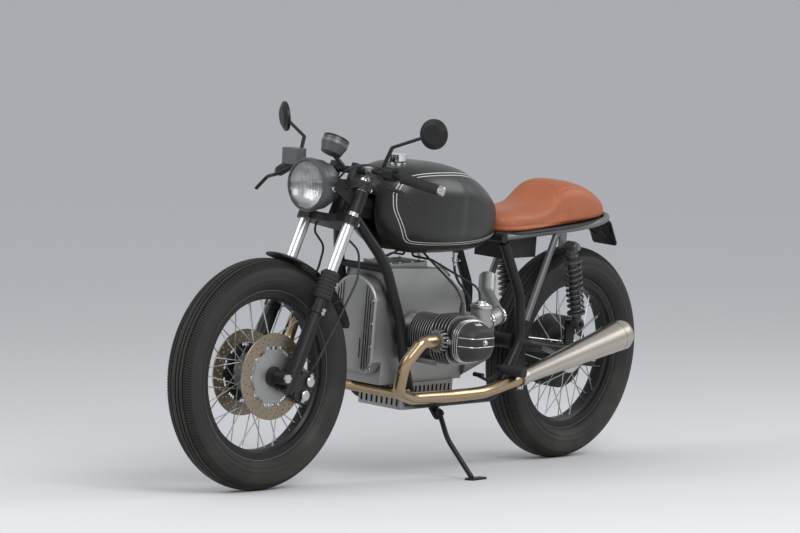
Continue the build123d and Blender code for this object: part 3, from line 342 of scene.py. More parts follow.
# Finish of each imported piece
nodeFinish = {
    "tyreRubber": ["front_tyre", "rear_tyre"],
    "satinBlackPaint": [
        "front_rim", "rear_rim", "sliders", "lower_yoke", "lamp_ears", "handlebar", "hand_levers", "mirrors",
        "front_fender", "frame_spine", "down_tubes", "cradle_rails", "rear_uprights", "swingarm",
        "foot_controls", "side_stand", "tail_bracket", "battery_box", "final_drive",
    ],
    "wrinkleBlack": ["upper_yoke", "calipers", "valve_covers"],
    "springBlack": ["dampers", "springs"],
    "railGrey": ["seat_rails"],
    "lampGrey": ["headlamp_shell", "gauge"],
    "lampGlass": ["headlamp_lens"],
    "hubAlloy": ["front_hub", "rear_hub"],
    "discSteel": ["brake_discs"],
    "brightSteel": ["front_axle", "rear_axle"],
    "chrome": ["tank_cap"],
    "forkChrome": ["stanchions"],
    "greyPlastic": ["brake_reservoir"],
    "gripRubber": ["grips"],
    "castAlloy": [
        "crankcase", "front_cover", "oil_pan", "gearbox", "cylinders", "cylinder_heads", "pushrod_tubes",
        "carburettors", "intake_tubes",
    ],
    "headerSteel": ["header_pipes", "balance_pipe"],
    "hoseRubber": ["brake_hoses", "throttle_cables"],
    "mufflerSteel": ["mufflers"],
    "tankBlack": ["fuel_tank"],
    "leather": ["seat"],
}
for finish, nodes in nodeFinish.items():
    for name in nodes:
        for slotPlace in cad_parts[name].material_slots:
            slotPlace.material = materials[finish]
print("packed pieces dressed")

# Stance in millimetres and degrees: drawn upright, then steered, leaned and settled on the floor
stance = {"lean": -5.35, "pitch": -0.0119, "rise": 0.26, "steer": -5.7, "rake": 25, "wheelbase": 1465,
          "trail": 79, "frontRadius": 348, "rearRadius": 338}


def makePlaces(settings):
    turn = {key: math.radians(settings[key]) for key in ("lean", "pitch", "steer", "rake")}
    rakeCos, rakeSin = math.cos(turn["rake"]), math.sin(turn["rake"])
    standing = (Matrix.Translation((0, 0, settings["rise"] / 1000)) @ Matrix.Rotation(turn["pitch"], 4, "Y")
                @ Matrix.Rotation(turn["lean"], 4, "X"))
    forkFrame = Matrix(((rakeCos, 0, -rakeSin), (0, 1, 0), (rakeSin, 0, rakeCos))).to_4x4()
    forkFrame.translation = ((settings["wheelbase"] - settings["trail"] * rakeCos) / 1000, 0,
                             (settings["frontRadius"] - settings["trail"] * rakeSin) / 1000)
    steered = standing @ forkFrame @ Matrix.Rotation(turn["steer"], 4, "Z") @ forkFrame.inverted()
    frontHub = Matrix.Translation((settings["wheelbase"] / 1000, 0, settings["frontRadius"] / 1000))
    rearHub = Matrix.Translation((0, 0, settings["rearRadius"] / 1000))
    # upright drawing, steered drawing, fork legs' own frame, and both wheels about their centres
    return {"upright": standing, "steered": steered, "forkLegs": steered @ forkFrame,
            "frontWheel": steered @ frontHub, "rearWheel": standing @ rearHub}


places = makePlaces(stance)
millimetre = 0.001


# Hand tools
def pick(piece):
    if bpy.context.object and bpy.context.object.mode != "OBJECT":
        bpy.ops.object.mode_set(mode="OBJECT")
    bpy.ops.object.select_all(action="DESELECT")
    piece.select_set(True)
    bpy.context.view_layer.objects.active = piece


def startEdit(piece, select="SELECT", mode="VERT"):
    pick(piece)
    bpy.ops.object.mode_set(mode="EDIT")
    bpy.ops.mesh.select_mode(type=mode)
    bpy.ops.mesh.select_all(action=select)


def endEdit():
    bpy.ops.object.mode_set(mode="OBJECT")


def selectFaces(piece, test):
    startEdit(piece, "DESELECT", "FACE")
    endEdit()
    for face in piece.data.polygons:
        face.select = test(face)
    bpy.ops.object.mode_set(mode="EDIT")


def useModifier(piece, kind, **values):
    pick(piece)
    modifier = piece.modifiers.new(kind.lower(), kind)
    for key, value in values.items():
        setattr(modifier, key, value)
    bpy.ops.object.modifier_apply(modifier=modifier.name)


def cleanMesh(piece, merge=0.02):
    startEdit(piece)
    bpy.ops.mesh.remove_doubles(threshold=merge * millimetre)
    bpy.ops.mesh.normals_make_consistent(inside=False)
    endEdit()


# A flat grid whose corners are then put in place one by one
def grid(columns, rows):
    bpy.ops.object.select_all(action="DESELECT")
    bpy.ops.mesh.primitive_grid_add(x_subdivisions=columns - 1, y_subdivisions=rows - 1, size=1)
    return bpy.context.object


def block(place, size, turn=(0, 0, 0)):
    bpy.ops.object.select_all(action="DESELECT")
    bpy.ops.mesh.primitive_cube_add(size=1, location=place, scale=size, rotation=turn)
    bpy.ops.object.transform_apply(location=True, rotation=True, scale=True)
    return bpy.context.object


def bevelled(piece, offset):
    startEdit(piece, "SELECT", "EDGE")
    bpy.ops.mesh.bevel(offset=offset, segments=2)
    endEdit()
    return piece


# A pin that lies across the machine
def crossPin(sides, radius, place=(0, 0, 0)):
    bpy.ops.object.select_all(action="DESELECT")
    bpy.ops.mesh.primitive_cylinder_add(vertices=sides, radius=radius, depth=20, location=place,
                                        rotation=(math.pi / 2, 0, 0))
    bpy.ops.object.transform_apply(location=True, rotation=True)
    return bpy.context.object


def carve(piece, cutter, **more):
    useModifier(piece, "BOOLEAN", operation="DIFFERENCE", object=cutter, solver="EXACT", **more)
    bpy.data.objects.remove(cutter)


# A skin over rings of points, closed at both ends
def skinned(rings):
    around = len(rings[0])
    piece = grid(around + 1, len(rings))
    for index, vertex in enumerate(piece.data.vertices):
        ring = rings[index // (around + 1)]
        vertex.co = ring[(index % (around + 1)) % around]
    startEdit(piece)
    bpy.ops.mesh.remove_doubles(threshold=0.02)
    bpy.ops.mesh.select_all(action="DESELECT")
    bpy.ops.mesh.select_non_manifold()
    bpy.ops.mesh.edge_face_add()
    bpy.ops.mesh.select_all(action="SELECT")
    bpy.ops.mesh.normals_make_consistent(inside=False)
    endEdit()
    return piece


# A rounded rectangle's outline, from the middle of the top
def squareRound(wide, tall, power, around):
    spots = []
    for index in range(around):
        angle = math.tau * index / around
        side, rise = math.sin(angle), math.cos(angle)
        spots.append((math.copysign(abs(side) ** (2 / power), side) * wide,
                      math.copysign(abs(rise) ** (2 / power), rise) * tall))
    return spots


# The turn that takes upright to a direction
def aimed(direction):
    return Vector((0, 0, 1)).rotation_difference(Vector(direction)).to_matrix().to_4x4()


# A left-hand place on either side
def sided(spot, side):
    return Vector((spot[0], side * spot[1], spot[2]))


# Where a body's pieces are drawn, unless a piece says otherwise
usualPlace = {"chassis": "upright", "fork": "steered", "front_wheel": "frontWheel",
              "rear_wheel": "rearWheel"}


# Sets a finished piece in its place: it is drawn in millimetres and baked into the mesh in metres
def settle(piece, name, body, finish, replaced=(), smooth=35, clean=True, place=None):
    pick(piece)
    bpy.ops.object.transform_apply(location=True, rotation=True, scale=True)
    piece.data.transform(places[place or usualPlace[body]] @ Matrix.Scale(millimetre, 4))
    if clean:
        cleanMesh(piece)
    pick(piece)
    if smooth:
        bpy.ops.object.shade_smooth_by_angle(angle=math.radians(smooth))
    piece.name = name
    piece.data.materials.clear()
    piece.data.materials.append(materials[finish])
    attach(piece, body)
    for node in replaced:
        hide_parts(node)
    return piece


# Turns a closed profile of (along, out) points round a line from a place
def turned(profile, place=(0, 0, 0), axis=(0, 0, 1), steps=64):
    bpy.ops.object.select_all(action="DESELECT")
    bpy.ops.mesh.primitive_circle_add(vertices=len(profile), radius=1)
    piece = bpy.context.object
    for vertex, (along, out) in zip(piece.data.vertices, profile):
        vertex.co = (out, 0, along)
    startEdit(piece)
    bpy.ops.mesh.spin(steps=steps, angle=math.tau, center=(0, 0, 0), axis=(0, 0, 1))
    bpy.ops.mesh.select_all(action="SELECT")
    bpy.ops.mesh.remove_doubles(threshold=0.01)
    bpy.ops.mesh.normals_make_consistent(inside=False)
    endEdit()
    piece.data.transform(Matrix.Translation(place) @ aimed(axis))
    return piece


# Ribs along a profile: each rib is a few (share of its step, proud) points
def ribbed(low, high, count, radius, rib):
    step = (high - low) / count
    return [(low + (index + share) * step, radius + proud) for index in range(count) for share, proud in rib]


# A round tube along points, bent softly: radius in millimetres
def tube(points, radius, kind="NURBS", rings=12, around=5):
    curve = bpy.data.curves.new("tubeLine", "CURVE")
    curve.dimensions = "3D"
    curve.resolution_u = rings
    curve.bevel_depth = radius
    curve.bevel_resolution = around
    curve.use_fill_caps = True
    line = curve.splines.new(kind)
    line.points.add(len(points) - 1)
    for point, spot in zip(line.points, points):
        point.co = (*spot, 1)
    if kind == "NURBS":
        line.order_u = 3
        line.use_endpoint_u = True
    piece = bpy.data.objects.new("tube", curve)
    bpy.context.collection.objects.link(piece)
    pick(piece)
    bpy.ops.object.convert(target="MESH")
    return bpy.context.object


def joined(pieces):
    pick(pieces[0])
    for piece in pieces[1:]:
        piece.select_set(True)
    if len(pieces) > 1:
        bpy.ops.object.join()
    return bpy.context.object


def copied(piece, move):
    twin = piece.copy()
    twin.data = piece.data.copy()
    bpy.context.collection.objects.link(twin)
    twin.data.transform(move)
    return twin


# A hexagon bolt head with a washer under it, standing on z = 0
def boltHead(across, high):
    washer = turned([(0, 0.01), (0, across * 0.72), (high * 0.16, across * 0.76),
                     (high * 0.28, across * 0.7), (high * 0.28, 0.01)], steps=20)
    bpy.ops.object.select_all(action="DESELECT")
    bpy.ops.mesh.primitive_cylinder_add(vertices=6, radius=across / 2 / math.cos(math.pi / 6),
                                        depth=high * 0.75, location=(0, 0, high * 0.62))
    head = bpy.context.object
    bpy.ops.object.transform_apply(location=True)
    selectFaces(head, lambda face: face.normal.z > 0.9)
    bpy.ops.mesh.inset(thickness=across * 0.06)
    bpy.ops.transform.translate(value=(0, 0, high * 0.06))
    endEdit()
    return joined([washer, head])


def boltAt(across, high, place, angle=0.0, axis="Z"):
    head = boltHead(across, high)
    head.data.transform(Matrix.Translation(place) @ Matrix.Rotation(angle, 4, axis))
    return head


# Copies of a bolt: each spot is (place, direction)
def bolts(across, high, spots):
    first = boltHead(across, high)
    copies = []
    for spot, direction in spots:
        copies.append(copied(first, Matrix.Translation(spot) @ aimed(direction)))
    bpy.data.objects.remove(first)
    return joined(copies)


# Tyres: one pitch of the tread is shaped on a grid and spun round the wheel
tyres = {
    "frontTyre": {"node": "front_tyre", "body": "front_wheel", "radius": 348, "width": 108, "flange": 254,
                  "pitches": 130, "ribs": (7.5, 18.5, 29.0), "groove": 4.0, "zigzag": 1.7, "sipeFrom": 30.5},
    "rearTyre": {"node": "rear_tyre", "body": "rear_wheel", "radius": 338, "width": 120, "flange": 241,
                 "pitches": 120, "ribs": (10.0, 24.0, 36.0), "groove": 3.2, "zigzag": 1.6, "sipeFrom": 26.0},
}


def makeTyre(name, settings):
    half = settings["width"] / 2
    radius, flange = settings["radius"], settings["flange"]
    treadEnd, ribDepth, sipeDepth = half * 0.89, 5.2, 3.2
    # columns across one half: place, depth of groove, zigzag share, sipe depth
    columns = [(0, 0, 0, 0)]
    for rib in settings["ribs"]:
        end = rib + settings["groove"]
        columns += [(rib - 0.1, 0, 1, 0), (rib + 0.5, ribDepth, 1, 0), (end - 0.5, ribDepth, 1, 0),
                    (end + 0.1, 0, 1, 0)]
    columns = [(spot, deep, zig, sipeDepth if spot > settings["sipeFrom"] and not deep else 0)
               for spot, deep, zig, _ in columns]
    last = columns[-1][0]
    for share in (0.35, 0.7, 0.9, 1.0):
        columns.append((last + (treadEnd - last) * share, 0, 0, sipeDepth))
    # side wall: place, height above the flange
    high = radius - flange
    wall = [(0.945, high - 27), (0.955, high - 28.5), (0.99, high - 38), (1, high / 2 + 8),
            (1, high / 2 - 2), (0.985, high / 2 - 12), (0.995, high / 2 - 13), (0.985, high / 2 - 14.2),
            (0.93, 22), (0.95, 21), (0.935, 19.6), (0.8, 10), (0.69, 3.5)]
    wall = [(half * share, level) for share, level in wall] + [(34, 1.2), (29.2, 0.4), (28.2, -10)]
    across = [("wall", -spot, high, 0, 0) for spot, high in reversed(wall)]
    across += [("tread", -spot, deep, zig, sipe) for spot, deep, zig, sipe in reversed(columns[1:])]
    across += [("tread", spot, deep, zig, sipe) for spot, deep, zig, sipe in columns]
    across += [("wall", spot, high, 0, 0) for spot, high in wall]
    # samples along one pitch: place and whether the sipe is open there
    along = [(0.0, 0), (0.12, 0), (0.17, 1), (0.36, 1), (0.41, 0), (0.62, 0), (0.67, 1), (0.86, 1),
             (0.91, 0), (1.0, 0)]
    piece = grid(len(across), len(along))
    step = math.tau / settings["pitches"]
    for index, vertex in enumerate(piece.data.vertices):
        kind, spot, deep, zig, sipe = across[index % len(across)]
        share, opened = along[index // len(across)]
        if kind == "tread":
            wave = abs((share * 2 + (0.5 if spot < 0 else 0)) % 1 - 0.5) * 4 - 1
            spot += zig * settings["zigzag"] * wave
            drop = 21.5 * (abs(spot) / (half * 0.88)) ** 2.55
            out = radius - drop - max(deep, sipe * opened)
            lag = 0.5 * (abs(spot) / half) ** 2
        else:
            out = flange + deep
            lag = 0.5 * min(1.0, abs(spot) / half) ** 2 if deep > radius - flange - 30 else 0.5
        angle = step * (share + lag)
        vertex.co = (out * math.sin(angle), spot, out * math.cos(angle))
    startEdit(piece)
    bpy.ops.mesh.spin(dupli=True, steps=settings["pitches"], angle=math.tau, center=(0, 0, 0),
                      axis=(0, 1, 0))
    bpy.ops.mesh.select_all(action="SELECT")
    bpy.ops.mesh.remove_doubles(threshold=0.02)
    bpy.ops.mesh.select_all(action="DESELECT")
    bpy.ops.mesh.select_non_manifold()
    bpy.ops.mesh.bridge_edge_loops()
    endEdit()
    return settle(piece, name, settings["body"], "tyreRubber", (settings["node"],), smooth=40)


for tyreName, tyreSettings in tyres.items():
    makeTyre(tyreName, tyreSettings)
print("tyres cut")

# Rim lips and spoke nipples
wheels = {
    "front": {"body": "front_wheel", "flange": 254},
    "rear": {"body": "rear_wheel", "flange": 241},
}


def makeWheelTrim(name, settings):
    flange = settings["flange"]
    lips = []
    for side in (1, -1):
        ring = [(side * 33 + 0.9 * math.cos(turn * math.tau / 8),
                 flange + 0.3 + 1.1 * math.sin(turn * math.tau / 8)) for turn in range(8)]
        lips.append(turned(ring, axis=(0, 1, 0), steps=160))
    settle(joined(lips), name + "RimLips", settings["body"], "railGrey")
    well = flange - 29
    first = turned([(-7, 0.01), (-7, 2.2), (-1, 3.1), (3, 3.1), (3, 0.01)], steps=8)
    nipples = []
    for side in (1, -1):
        for index in range(20):
            lead = 1 if index % 2 else -1
            foot = math.radians(18 * index + (9 if side > 0 else 0))
            head = foot + math.radians(lead * 38 + 9)
            footY, headY = side * (40 + 3 * lead), side * (8 + 3 * lead)
            start = Vector((57 * math.cos(foot), footY, 57 * math.sin(foot)))
            end = Vector((well * math.cos(head), headY, well * math.sin(head)))
            nipples.append(copied(first, Matrix.Translation(end) @ aimed(end - start)))
    bpy.data.objects.remove(first)
    settle(joined(nipples), name + "Nipples", settings["body"], "brightSteel")


for wheelName, wheelSettings in wheels.items():
    makeWheelTrim(wheelName, wheelSettings)
print("rims trimmed")

# Front discs: a drilled ring on a slotted silver carrier, with rivets and a dark bearing cap
discs = {"outer": 130, "inner": 90, "thick": 5, "offset": 60, "holes": 72, "holeRadius": 3.0, "arms": 10}


def makeDiscs(settings):
    half, inner, outer = settings["thick"] / 2, settings["inner"], settings["outer"]
    rings, carriers, rivets, caps = [], [], [], []
    for side in (1, -1):
        centre = side * settings["offset"]
        low, high = centre - half, centre + half
        ring = turned([(low, inner), (high, inner), (high, outer - 0.8), (high - 0.8, outer),
                       (low + 0.8, outer), (low, outer - 0.8)], axis=(0, 1, 0), steps=144)
        drills = []
        drill = crossPin(12, settings["holeRadius"])
        for index in range(settings["holes"]):
            angle = math.tau * index / settings["holes"]
            reach = (100, 111, 121)[index % 3]
            spot = (reach * math.cos(angle), centre, reach * math.sin(angle))
            drills.append(copied(drill, Matrix.Translation(spot)))
        bpy.data.objects.remove(drill)
        carve(ring, joined(drills))
        rings.append(ring)
        plate = turned([(centre - 3, 12), (centre + 3, 12), (centre + 3, 60), (centre + 2, 66),
                        (centre + 2, 88.6), (centre - 2, 88.6), (centre - 2, 66), (centre - 3, 60)],
                       axis=(0, 1, 0), steps=120)
        slot = crossPin(16, 5, (84, centre, 0))
        slots = []
        for index in range(settings["arms"]):
            for lead in (-6.5, 0, 6.5):
                angle = math.tau * index / settings["arms"] + math.radians(lead + 18)
                slots.append(copied(slot, Matrix.Rotation(angle, 4, "Y")))
        bpy.data.objects.remove(slot)
        carve(plate, joined(slots), use_self=True)
        carriers.append(plate)
        caps.append(turned([(0, 9), (0, 30), (5, 30), (6, 27), (9, 26), (10, 22), (13, 21), (14, 17),
                            (20, 16), (20, 9)], (0, centre + side * 3, 0), (0, side, 0), 48))
        button = turned([(-1, 0.01), (-1, 5.4), (1.4, 5.4), (2.2, 4.2), (2.2, 0.01)],
                        axis=(0, side, 0), steps=16)
        for index in range(settings["arms"]):
            angle = math.tau * index / settings["arms"]
            spot = Matrix.Translation((88, centre + side * 2.4, 0))
            rivets.append(copied(button, Matrix.Rotation(angle, 4, "Y") @ spot))
        bpy.data.objects.remove(button)
    settle(joined(rings), "brakeRings", "front_wheel", "discSteel", ("brake_discs",), smooth=25)
    settle(carriers[0], "leftCarrier", "front_wheel", "castAlloy", smooth=25)
    settle(carriers[1], "rightCarrier", "front_wheel", "satinBlackPaint", smooth=25)
    settle(joined(caps), "bearingCaps", "front_wheel", "satinBlackPaint")
    settle(joined(rivets), "discRivets", "front_wheel", "brightSteel")


makeDiscs(discs)
print("discs drilled")

# Fuel tank: stations from the nose to the seat, in the upright drawing
tank = {
    # along, bottom, top, half width, corner
    "stations": [(1032, 800, 900, 46, 40), (1018, 773, 924, 70, 50), (996, 742, 950, 98, 62),
                 (962, 718, 965, 122, 70), (920, 702, 974, 138, 76), (868, 694, 975, 148, 79),
                 (810, 690, 974, 152, 80), (750, 689, 969, 151, 80), (690, 688, 959, 150, 78),
                 (634, 688, 942, 141, 74), (580, 691, 917, 124, 66), (536, 698, 890, 106, 56),
                 (496, 712, 860, 86, 46)],
    "around": 55, "fuller": 0.035, "tunnel": 34, "creaseAt": 742, "creaseDepth": 8.0, "lip": 9,
}


# One station's outline, from the middle of the top, a little fuller in its upper half
def tankRing(station, settings):
    along, low, high, half, corner = station
    tall = (high - low) / 2
    power = 2 + 1.6 * (1 - corner / min(half, tall))
    ring = []
    for across, rise in squareRound(half, tall, power, settings["around"]):
        share = (rise + tall) / (high - low)
        across *= 1 + settings["fuller"] * math.sin(math.pi * min(1.0, max(0.0, share * 1.15)))
        ring.append((along, min(max(across, -half), half), low + tall + rise))
    return ring


def makeTank(settings):
    piece = skinned([tankRing(station, settings) for station in settings["stations"]])
    selectFaces(piece, lambda face: abs(face.normal.x) > 0.98 and len(face.vertices) > 8)
    bpy.ops.mesh.inset(thickness=14)
    bpy.ops.mesh.inset(thickness=18)
    endEdit()
    useModifier(piece, "SUBSURF", levels=2, render_levels=2)
    # soft crease down the flanks where the knee hollow starts, and the lip along the lower edge
    crease, lip = settings["creaseDepth"], settings["lip"]
    for vertex in piece.data.vertices:
        along, across, up = vertex.co
        if abs(across) > 40 and 700 < up < 960:
            behind = max(0.0, min(1.0, (settings["creaseAt"] - along) / 26))
            fade = max(0.0, min(1.0, (along - 520) / 130)) * math.sin(math.pi * (up - 700) / 260)
            vertex.co.y -= math.copysign(crease * behind * fade, across)
        if up < 724:
            vertex.co.y *= 1 + 0.012 * max(0.0, 1 - abs(up - 706) / lip)
    carve(piece, block((764, 0, 730), (620, settings["tunnel"] * 2, 190), (0, math.radians(-10.8), 0)))
    return settle(piece, "fuelTankBody", "chassis", "tankBlack", ("fuel_tank",), smooth=40)


tankBody = makeTank(tank)
print("tank shaped")

# Seat: padded and stitched
seat = {
    # along, underside, top at the middle, half width
    "stations": [(480, 743, 806, 72), (440, 741, 808, 100), (400, 742, 809, 108), (350, 744, 811, 110),
                 (300, 746, 815, 111), (268, 748, 822, 111), (240, 749, 835, 111), (214, 750, 856, 111),
                 (188, 751, 876, 111), (158, 753, 890, 111), (118, 755, 895, 110), (74, 758, 891, 107),
                 (28, 761, 878, 102), (-20, 765, 858, 92), (-62, 769, 835, 77), (-96, 773, 812, 54),
                 (-118, 777, 796, 30)],
    "around": 29, "voxel": 0.0055, "pressure": 3.0, "cap": 7.0, "steps": 20,
    # seams: across the front of the hump, round its top, and their depths
    "seamAlong": 178, "seamAside": 84, "seamDepth": (2.6, 2.4, 1.6),
}


def seatSpot(low, high, half, turn):
    # flat underside, upright sides and a crowned top
    angle = turn * math.tau
    side, rise = math.sin(angle), math.cos(angle)
    across = math.copysign(abs(side) ** 0.62, side) * half
    if rise > 0:
        return across, low + (high - low) * (0.45 + 0.55 * abs(rise) ** 0.55)
    return across * (1 - 0.04 * abs(rise)), low + (high - low) * 0.45 * (1 - abs(rise) ** 0.35)


def makeSeat(settings):
    around = settings["around"]
    piece = skinned([[(along, *seatSpot(low + 1, high - 3, half - 3, index / around))
                      for index in range(around)] for along, low, high, half in settings["stations"]])
    useModifier(piece, "SUBSURF", levels=2, render_levels=2)
    piece.data.transform(Matrix.Scale(millimetre, 4))
    useModifier(piece, "REMESH", mode="VOXEL", voxel_size=settings["voxel"])
    rest = [vertex.co.copy() for vertex in piece.data.vertices]
    pinned = piece.vertex_groups.new(name="pan")
    pinned.add([vertex.index for vertex in piece.data.vertices if vertex.normal.z < -0.6], 1.0,
               "REPLACE")
    pick(piece)
    bpy.ops.object.modifier_add(type="CLOTH")
    cloth = piece.modifiers[-1].settings
    cloth.use_pressure = True
    cloth.uniform_pressure_force = settings["pressure"]
    cloth.effector_weights.gravity = 0
    cloth.vertex_group_mass = "pan"
    cloth.quality = 5
    for step in range(1, settings["steps"] + 1):
        bpy.context.scene.frame_set(step)
    bpy.ops.object.modifier_apply(modifier=piece.modifiers[-1].name)
    bpy.context.scene.frame_set(1)
    cap = settings["cap"] * millimetre
    for vertex, start in zip(piece.data.vertices, rest):
        shift = vertex.co - start
        if shift.length > cap:
            vertex.co = start + shift.normalized() * cap
    useModifier(piece, "SMOOTH", factor=0.5, iterations=4)
    useModifier(piece, "SUBSURF", levels=1, render_levels=1)
    piece.data.transform(Matrix.Scale(1 / millimetre, 4))
    # sewn seams: one across the front of the hump, one round its top, and one along each lower edge
    frontDepth, sideDepth, edgeDepth = settings["seamDepth"]
    normals = [vertex.normal.copy() for vertex in piece.data.vertices]
    for vertex, normal in zip(piece.data.vertices, normals):
        along, across, up = vertex.co
        seam = settings["seamAlong"] + 0.0030 * across * across
        front = max(0.0, 1 - abs(along - seam) / 5) if up > 790 else 0
        aside = abs(abs(across) - settings["seamAside"]) if 10 < along < 190 and up > 840 else 99
        edge = max(0.0, 1 - abs(up - 764 - 0.02 * (480 - along)) / 6) if up < 790 else 0
        vertex.co -= normal * (front * frontDepth + max(0.0, 1 - aside / 5) * sideDepth + edge * edgeDepth)
    return settle(piece, "seatPad", "chassis", "leather", ("seat",), smooth=0, clean=False)


seatPad = makeSeat(seat)
pick(seatPad)
bpy.ops.object.shade_smooth()
print("seat padded")

# Pinstripes: a thin double line on each flank, drawn beside the tank and then pressed onto its skin
stripes = {
    # along and up, from the nose: the lower line and the upper one
    "lower": [(1000, 884), (1001, 850), (988, 810), (965, 767), (950, 748), (926, 738), (740, 732),
              (640, 734), (560, 740), (508, 750)],
    "upper": [(1000, 884), (988, 912), (956, 932), (900, 941), (780, 941), (690, 934), (620, 916),
              (560, 884), (512, 850)],
    "wide": 2.0, "apart": 6.5, "proud": 0.35, "beside": 190,
}


def makeStripes(settings):
    strips = []
    for side in (1, -1):
        for route, inward in ((settings["lower"], 1), (settings["upper"], -1)):
            for lane in (0, 1):
                points = []
                for index, (along, up) in enumerate(route):
                    before = route[max(0, index - 1)]
                    after = route[min(len(route) - 1, index + 1)]
                    run = Vector((after[0] - before[0], after[1] - before[1])).normalized()
                    away = Vector((-run.y, run.x)) * settings["apart"] * lane * inward
                    points.append((along + away.x, side * settings["beside"], up + away.y))
                strips.append(tube(points, settings["wide"] / 2, rings=10, around=1))
    piece = joined(strips)
    skin = tankBody.data.copy()
    skin.transform((places["upright"] @ Matrix.Scale(millimetre, 4)).inverted())
    tree = BVHTree.FromPolygons([vertex.co for vertex in skin.vertices],
                                [face.vertices for face in skin.polygons])
    for vertex in piece.data.vertices:
        away = vertex.co.y
        side = 1 if away > 0 else -1
        hit, normal, _, _ = tree.ray_cast(Vector((vertex.co.x, side * 400, vertex.co.z)),
                                          Vector((0, -side, 0)))
        if hit:
            level = (abs(away) - settings["beside"]) / (settings["wide"] / 2) * settings["proud"]
            vertex.co = hit + normal * (settings["proud"] * 0.4 + level * 0.6)
    bpy.data.meshes.remove(skin)
    return settle(piece, "tankStripes", "chassis", "stripeWhite")


makeStripes(stripes)
print("stripes drawn")

# Headlamp: hollow bucket, bezel, fluted lens and a bright reflector with its bulb cap
headlamp = {"place": (1300.75, 0, 910.8), "radius": 81, "lens": 72}


def makeHeadlamp(settings):
    centre, radius, lens = settings["place"], settings["radius"], settings["lens"]

    def lampPiece(name, finish, profile, replaced=(), steps=96, smooth=35):
        settle(turned(profile, centre, (1, 0, 0), steps), name, "fork", finish, replaced, smooth)

    lampPiece("lampBucket", "lampGrey", [(-6, lens + 0.5), (0, lens + 1.5), (-2, radius - 6),
                                         (-19, radius - 4), (-50, radius - 9), (-80, radius - 22),
                                         (-100, radius - 43), (-112, 20), (-112, 0.01), (-114, 0.01),
                                         (-114, 20), (-102, radius - 40), (-80, radius - 19),
                                         (-50, radius - 6), (-20, radius - 3)], ("headlamp_shell",))
    lampPiece("lampBezel", "lampGrey", [(-20, radius - 3.2), (-20, radius - 0.4), (-16, radius),
                                        (-4, radius), (1, radius - 1.5), (3.5, radius - 5),
                                        (3.2, lens + 0.4), (-6, lens + 0.4), (-6, radius - 3.2)])
    lampPiece("lampLens", "lampGlass", [(-5, 0.01), (-5, lens), (0, lens), (4, lens * 0.8),
                                        (7.5, lens * 0.55), (9.5, lens * 0.28), (10.2, 0.01)],
              ("headlamp_lens",), smooth=30)
    lampPiece("lampReflector", "reflector", [(-6, lens - 0.4), (-16, lens - 6), (-30, lens - 20),
                                             (-42, lens - 40), (-48, 12), (-48, 0.01), (-50, 0.01),
                                             (-50, 13), (-44, lens - 38), (-32, lens - 18),
                                             (-18, lens - 4.5), (-7, lens + 0.3)])
    lampPiece("lampBulbCap", "brightSteel", [(-48, 0.01), (-48, 9), (-30, 9), (-22, 12), (-18, 12),
                                             (-14, 8), (-13, 0.01)], steps=32)
    boss = [(-6, 0.01), (-6, 9), (8, 9), (12, 7), (12, 0.01)]
    pair = [turned(boss, (centre[0] - 34, side * (radius - 4), centre[2] - 8), (0, side, 0), 24)
            for side in (1, -1)]
    settle(joined(pair), "lampBosses", "fork", "brightSteel")


makeHeadlamp(headlamp)
print("headlamp built")

# Ribbed dust sleeves over the slider tops, drawn in the fork legs' frame
sleeves = {"forward": 34, "left": 93, "from": 276, "to": 357, "radius": 27.6, "ribs": 7}


def makeSleeves(settings):
    low, high, radius = settings["from"], settings["to"], settings["radius"]
    profile = [(low - 2, 22.5), (low - 2, radius)]
    profile += ribbed(low, high, settings["ribs"], radius,
                      ((0.12, -0.4), (0.3, 1.9), (0.7, 1.9), (0.88, -0.4)))
    profile += [(high, radius - 1), (high + 6, 21), (high + 6, 18.4), (high - 4, 18.4), (high - 10, 22.5)]
    sleeve = turned(profile, (settings["forward"], settings["left"], 0), (0, 0, 1), 48)
    other = copied(sleeve, Matrix.Translation((0, -2 * settings["left"], 0)))
    settle(joined([sleeve, other]), "dustSleeves", "fork", "gripRubber", place="forkLegs")


makeSleeves(sleeves)
print("sleeves made")

# Coil springs on the rear shocks
springs = {"top": (172, 137, 700), "bottom": (108, 137, 452), "from": 42, "to": 204, "coil": 24.5,
           "wire": 3.6, "turns": 9}


def makeSprings(settings):
    coils = []
    for side in (1, -1):
        top, bottom = sided(settings["top"], side), sided(settings["bottom"], side)
        bpy.ops.object.select_all(action="DESELECT")
        bpy.ops.mesh.primitive_circle_add(vertices=12, radius=settings["wire"],
                                          rotation=(math.pi / 2, 0, 0), location=(settings["coil"], 0, 0))
        coil = bpy.context.object
        bpy.ops.object.transform_apply(location=True, rotation=True)
        rise = settings["to"] - settings["from"] - 2 * settings["wire"]
        useModifier(coil, "SCREW", axis="Z", angle=math.tau * settings["turns"], screw_offset=rise,
                    steps=settings["turns"] * 32, render_steps=settings["turns"] * 32,
                    use_merge_vertices=False)
        startEdit(coil, "DESELECT")
        bpy.ops.mesh.select_non_manifold()
        bpy.ops.mesh.edge_face_add()
        endEdit()
        line = (top - bottom).normalized()
        foot = bottom + line * (settings["from"] + settings["wire"])
        coil.data.transform(Matrix.Translation(foot) @ aimed(line))
        coils.append(coil)
        coils.append(turned([(30, 0.01), (30, 17), (120, 17), (121, 10), (215, 10), (216, 16), (226, 20),
                             (232, 20), (232, 0.01)], bottom, line, 32))
    settle(joined(coils), "shockCoils", "chassis", "springBlack", ("springs",))


makeSprings(springs)
print("springs wound")

# Grips: ribbed rubber with bright bar ends
grips = {"end": (1082, 338, 919), "inner": (1155.1, 206, 957.2), "length": 118, "radius": 15.4, "ribs": 26}


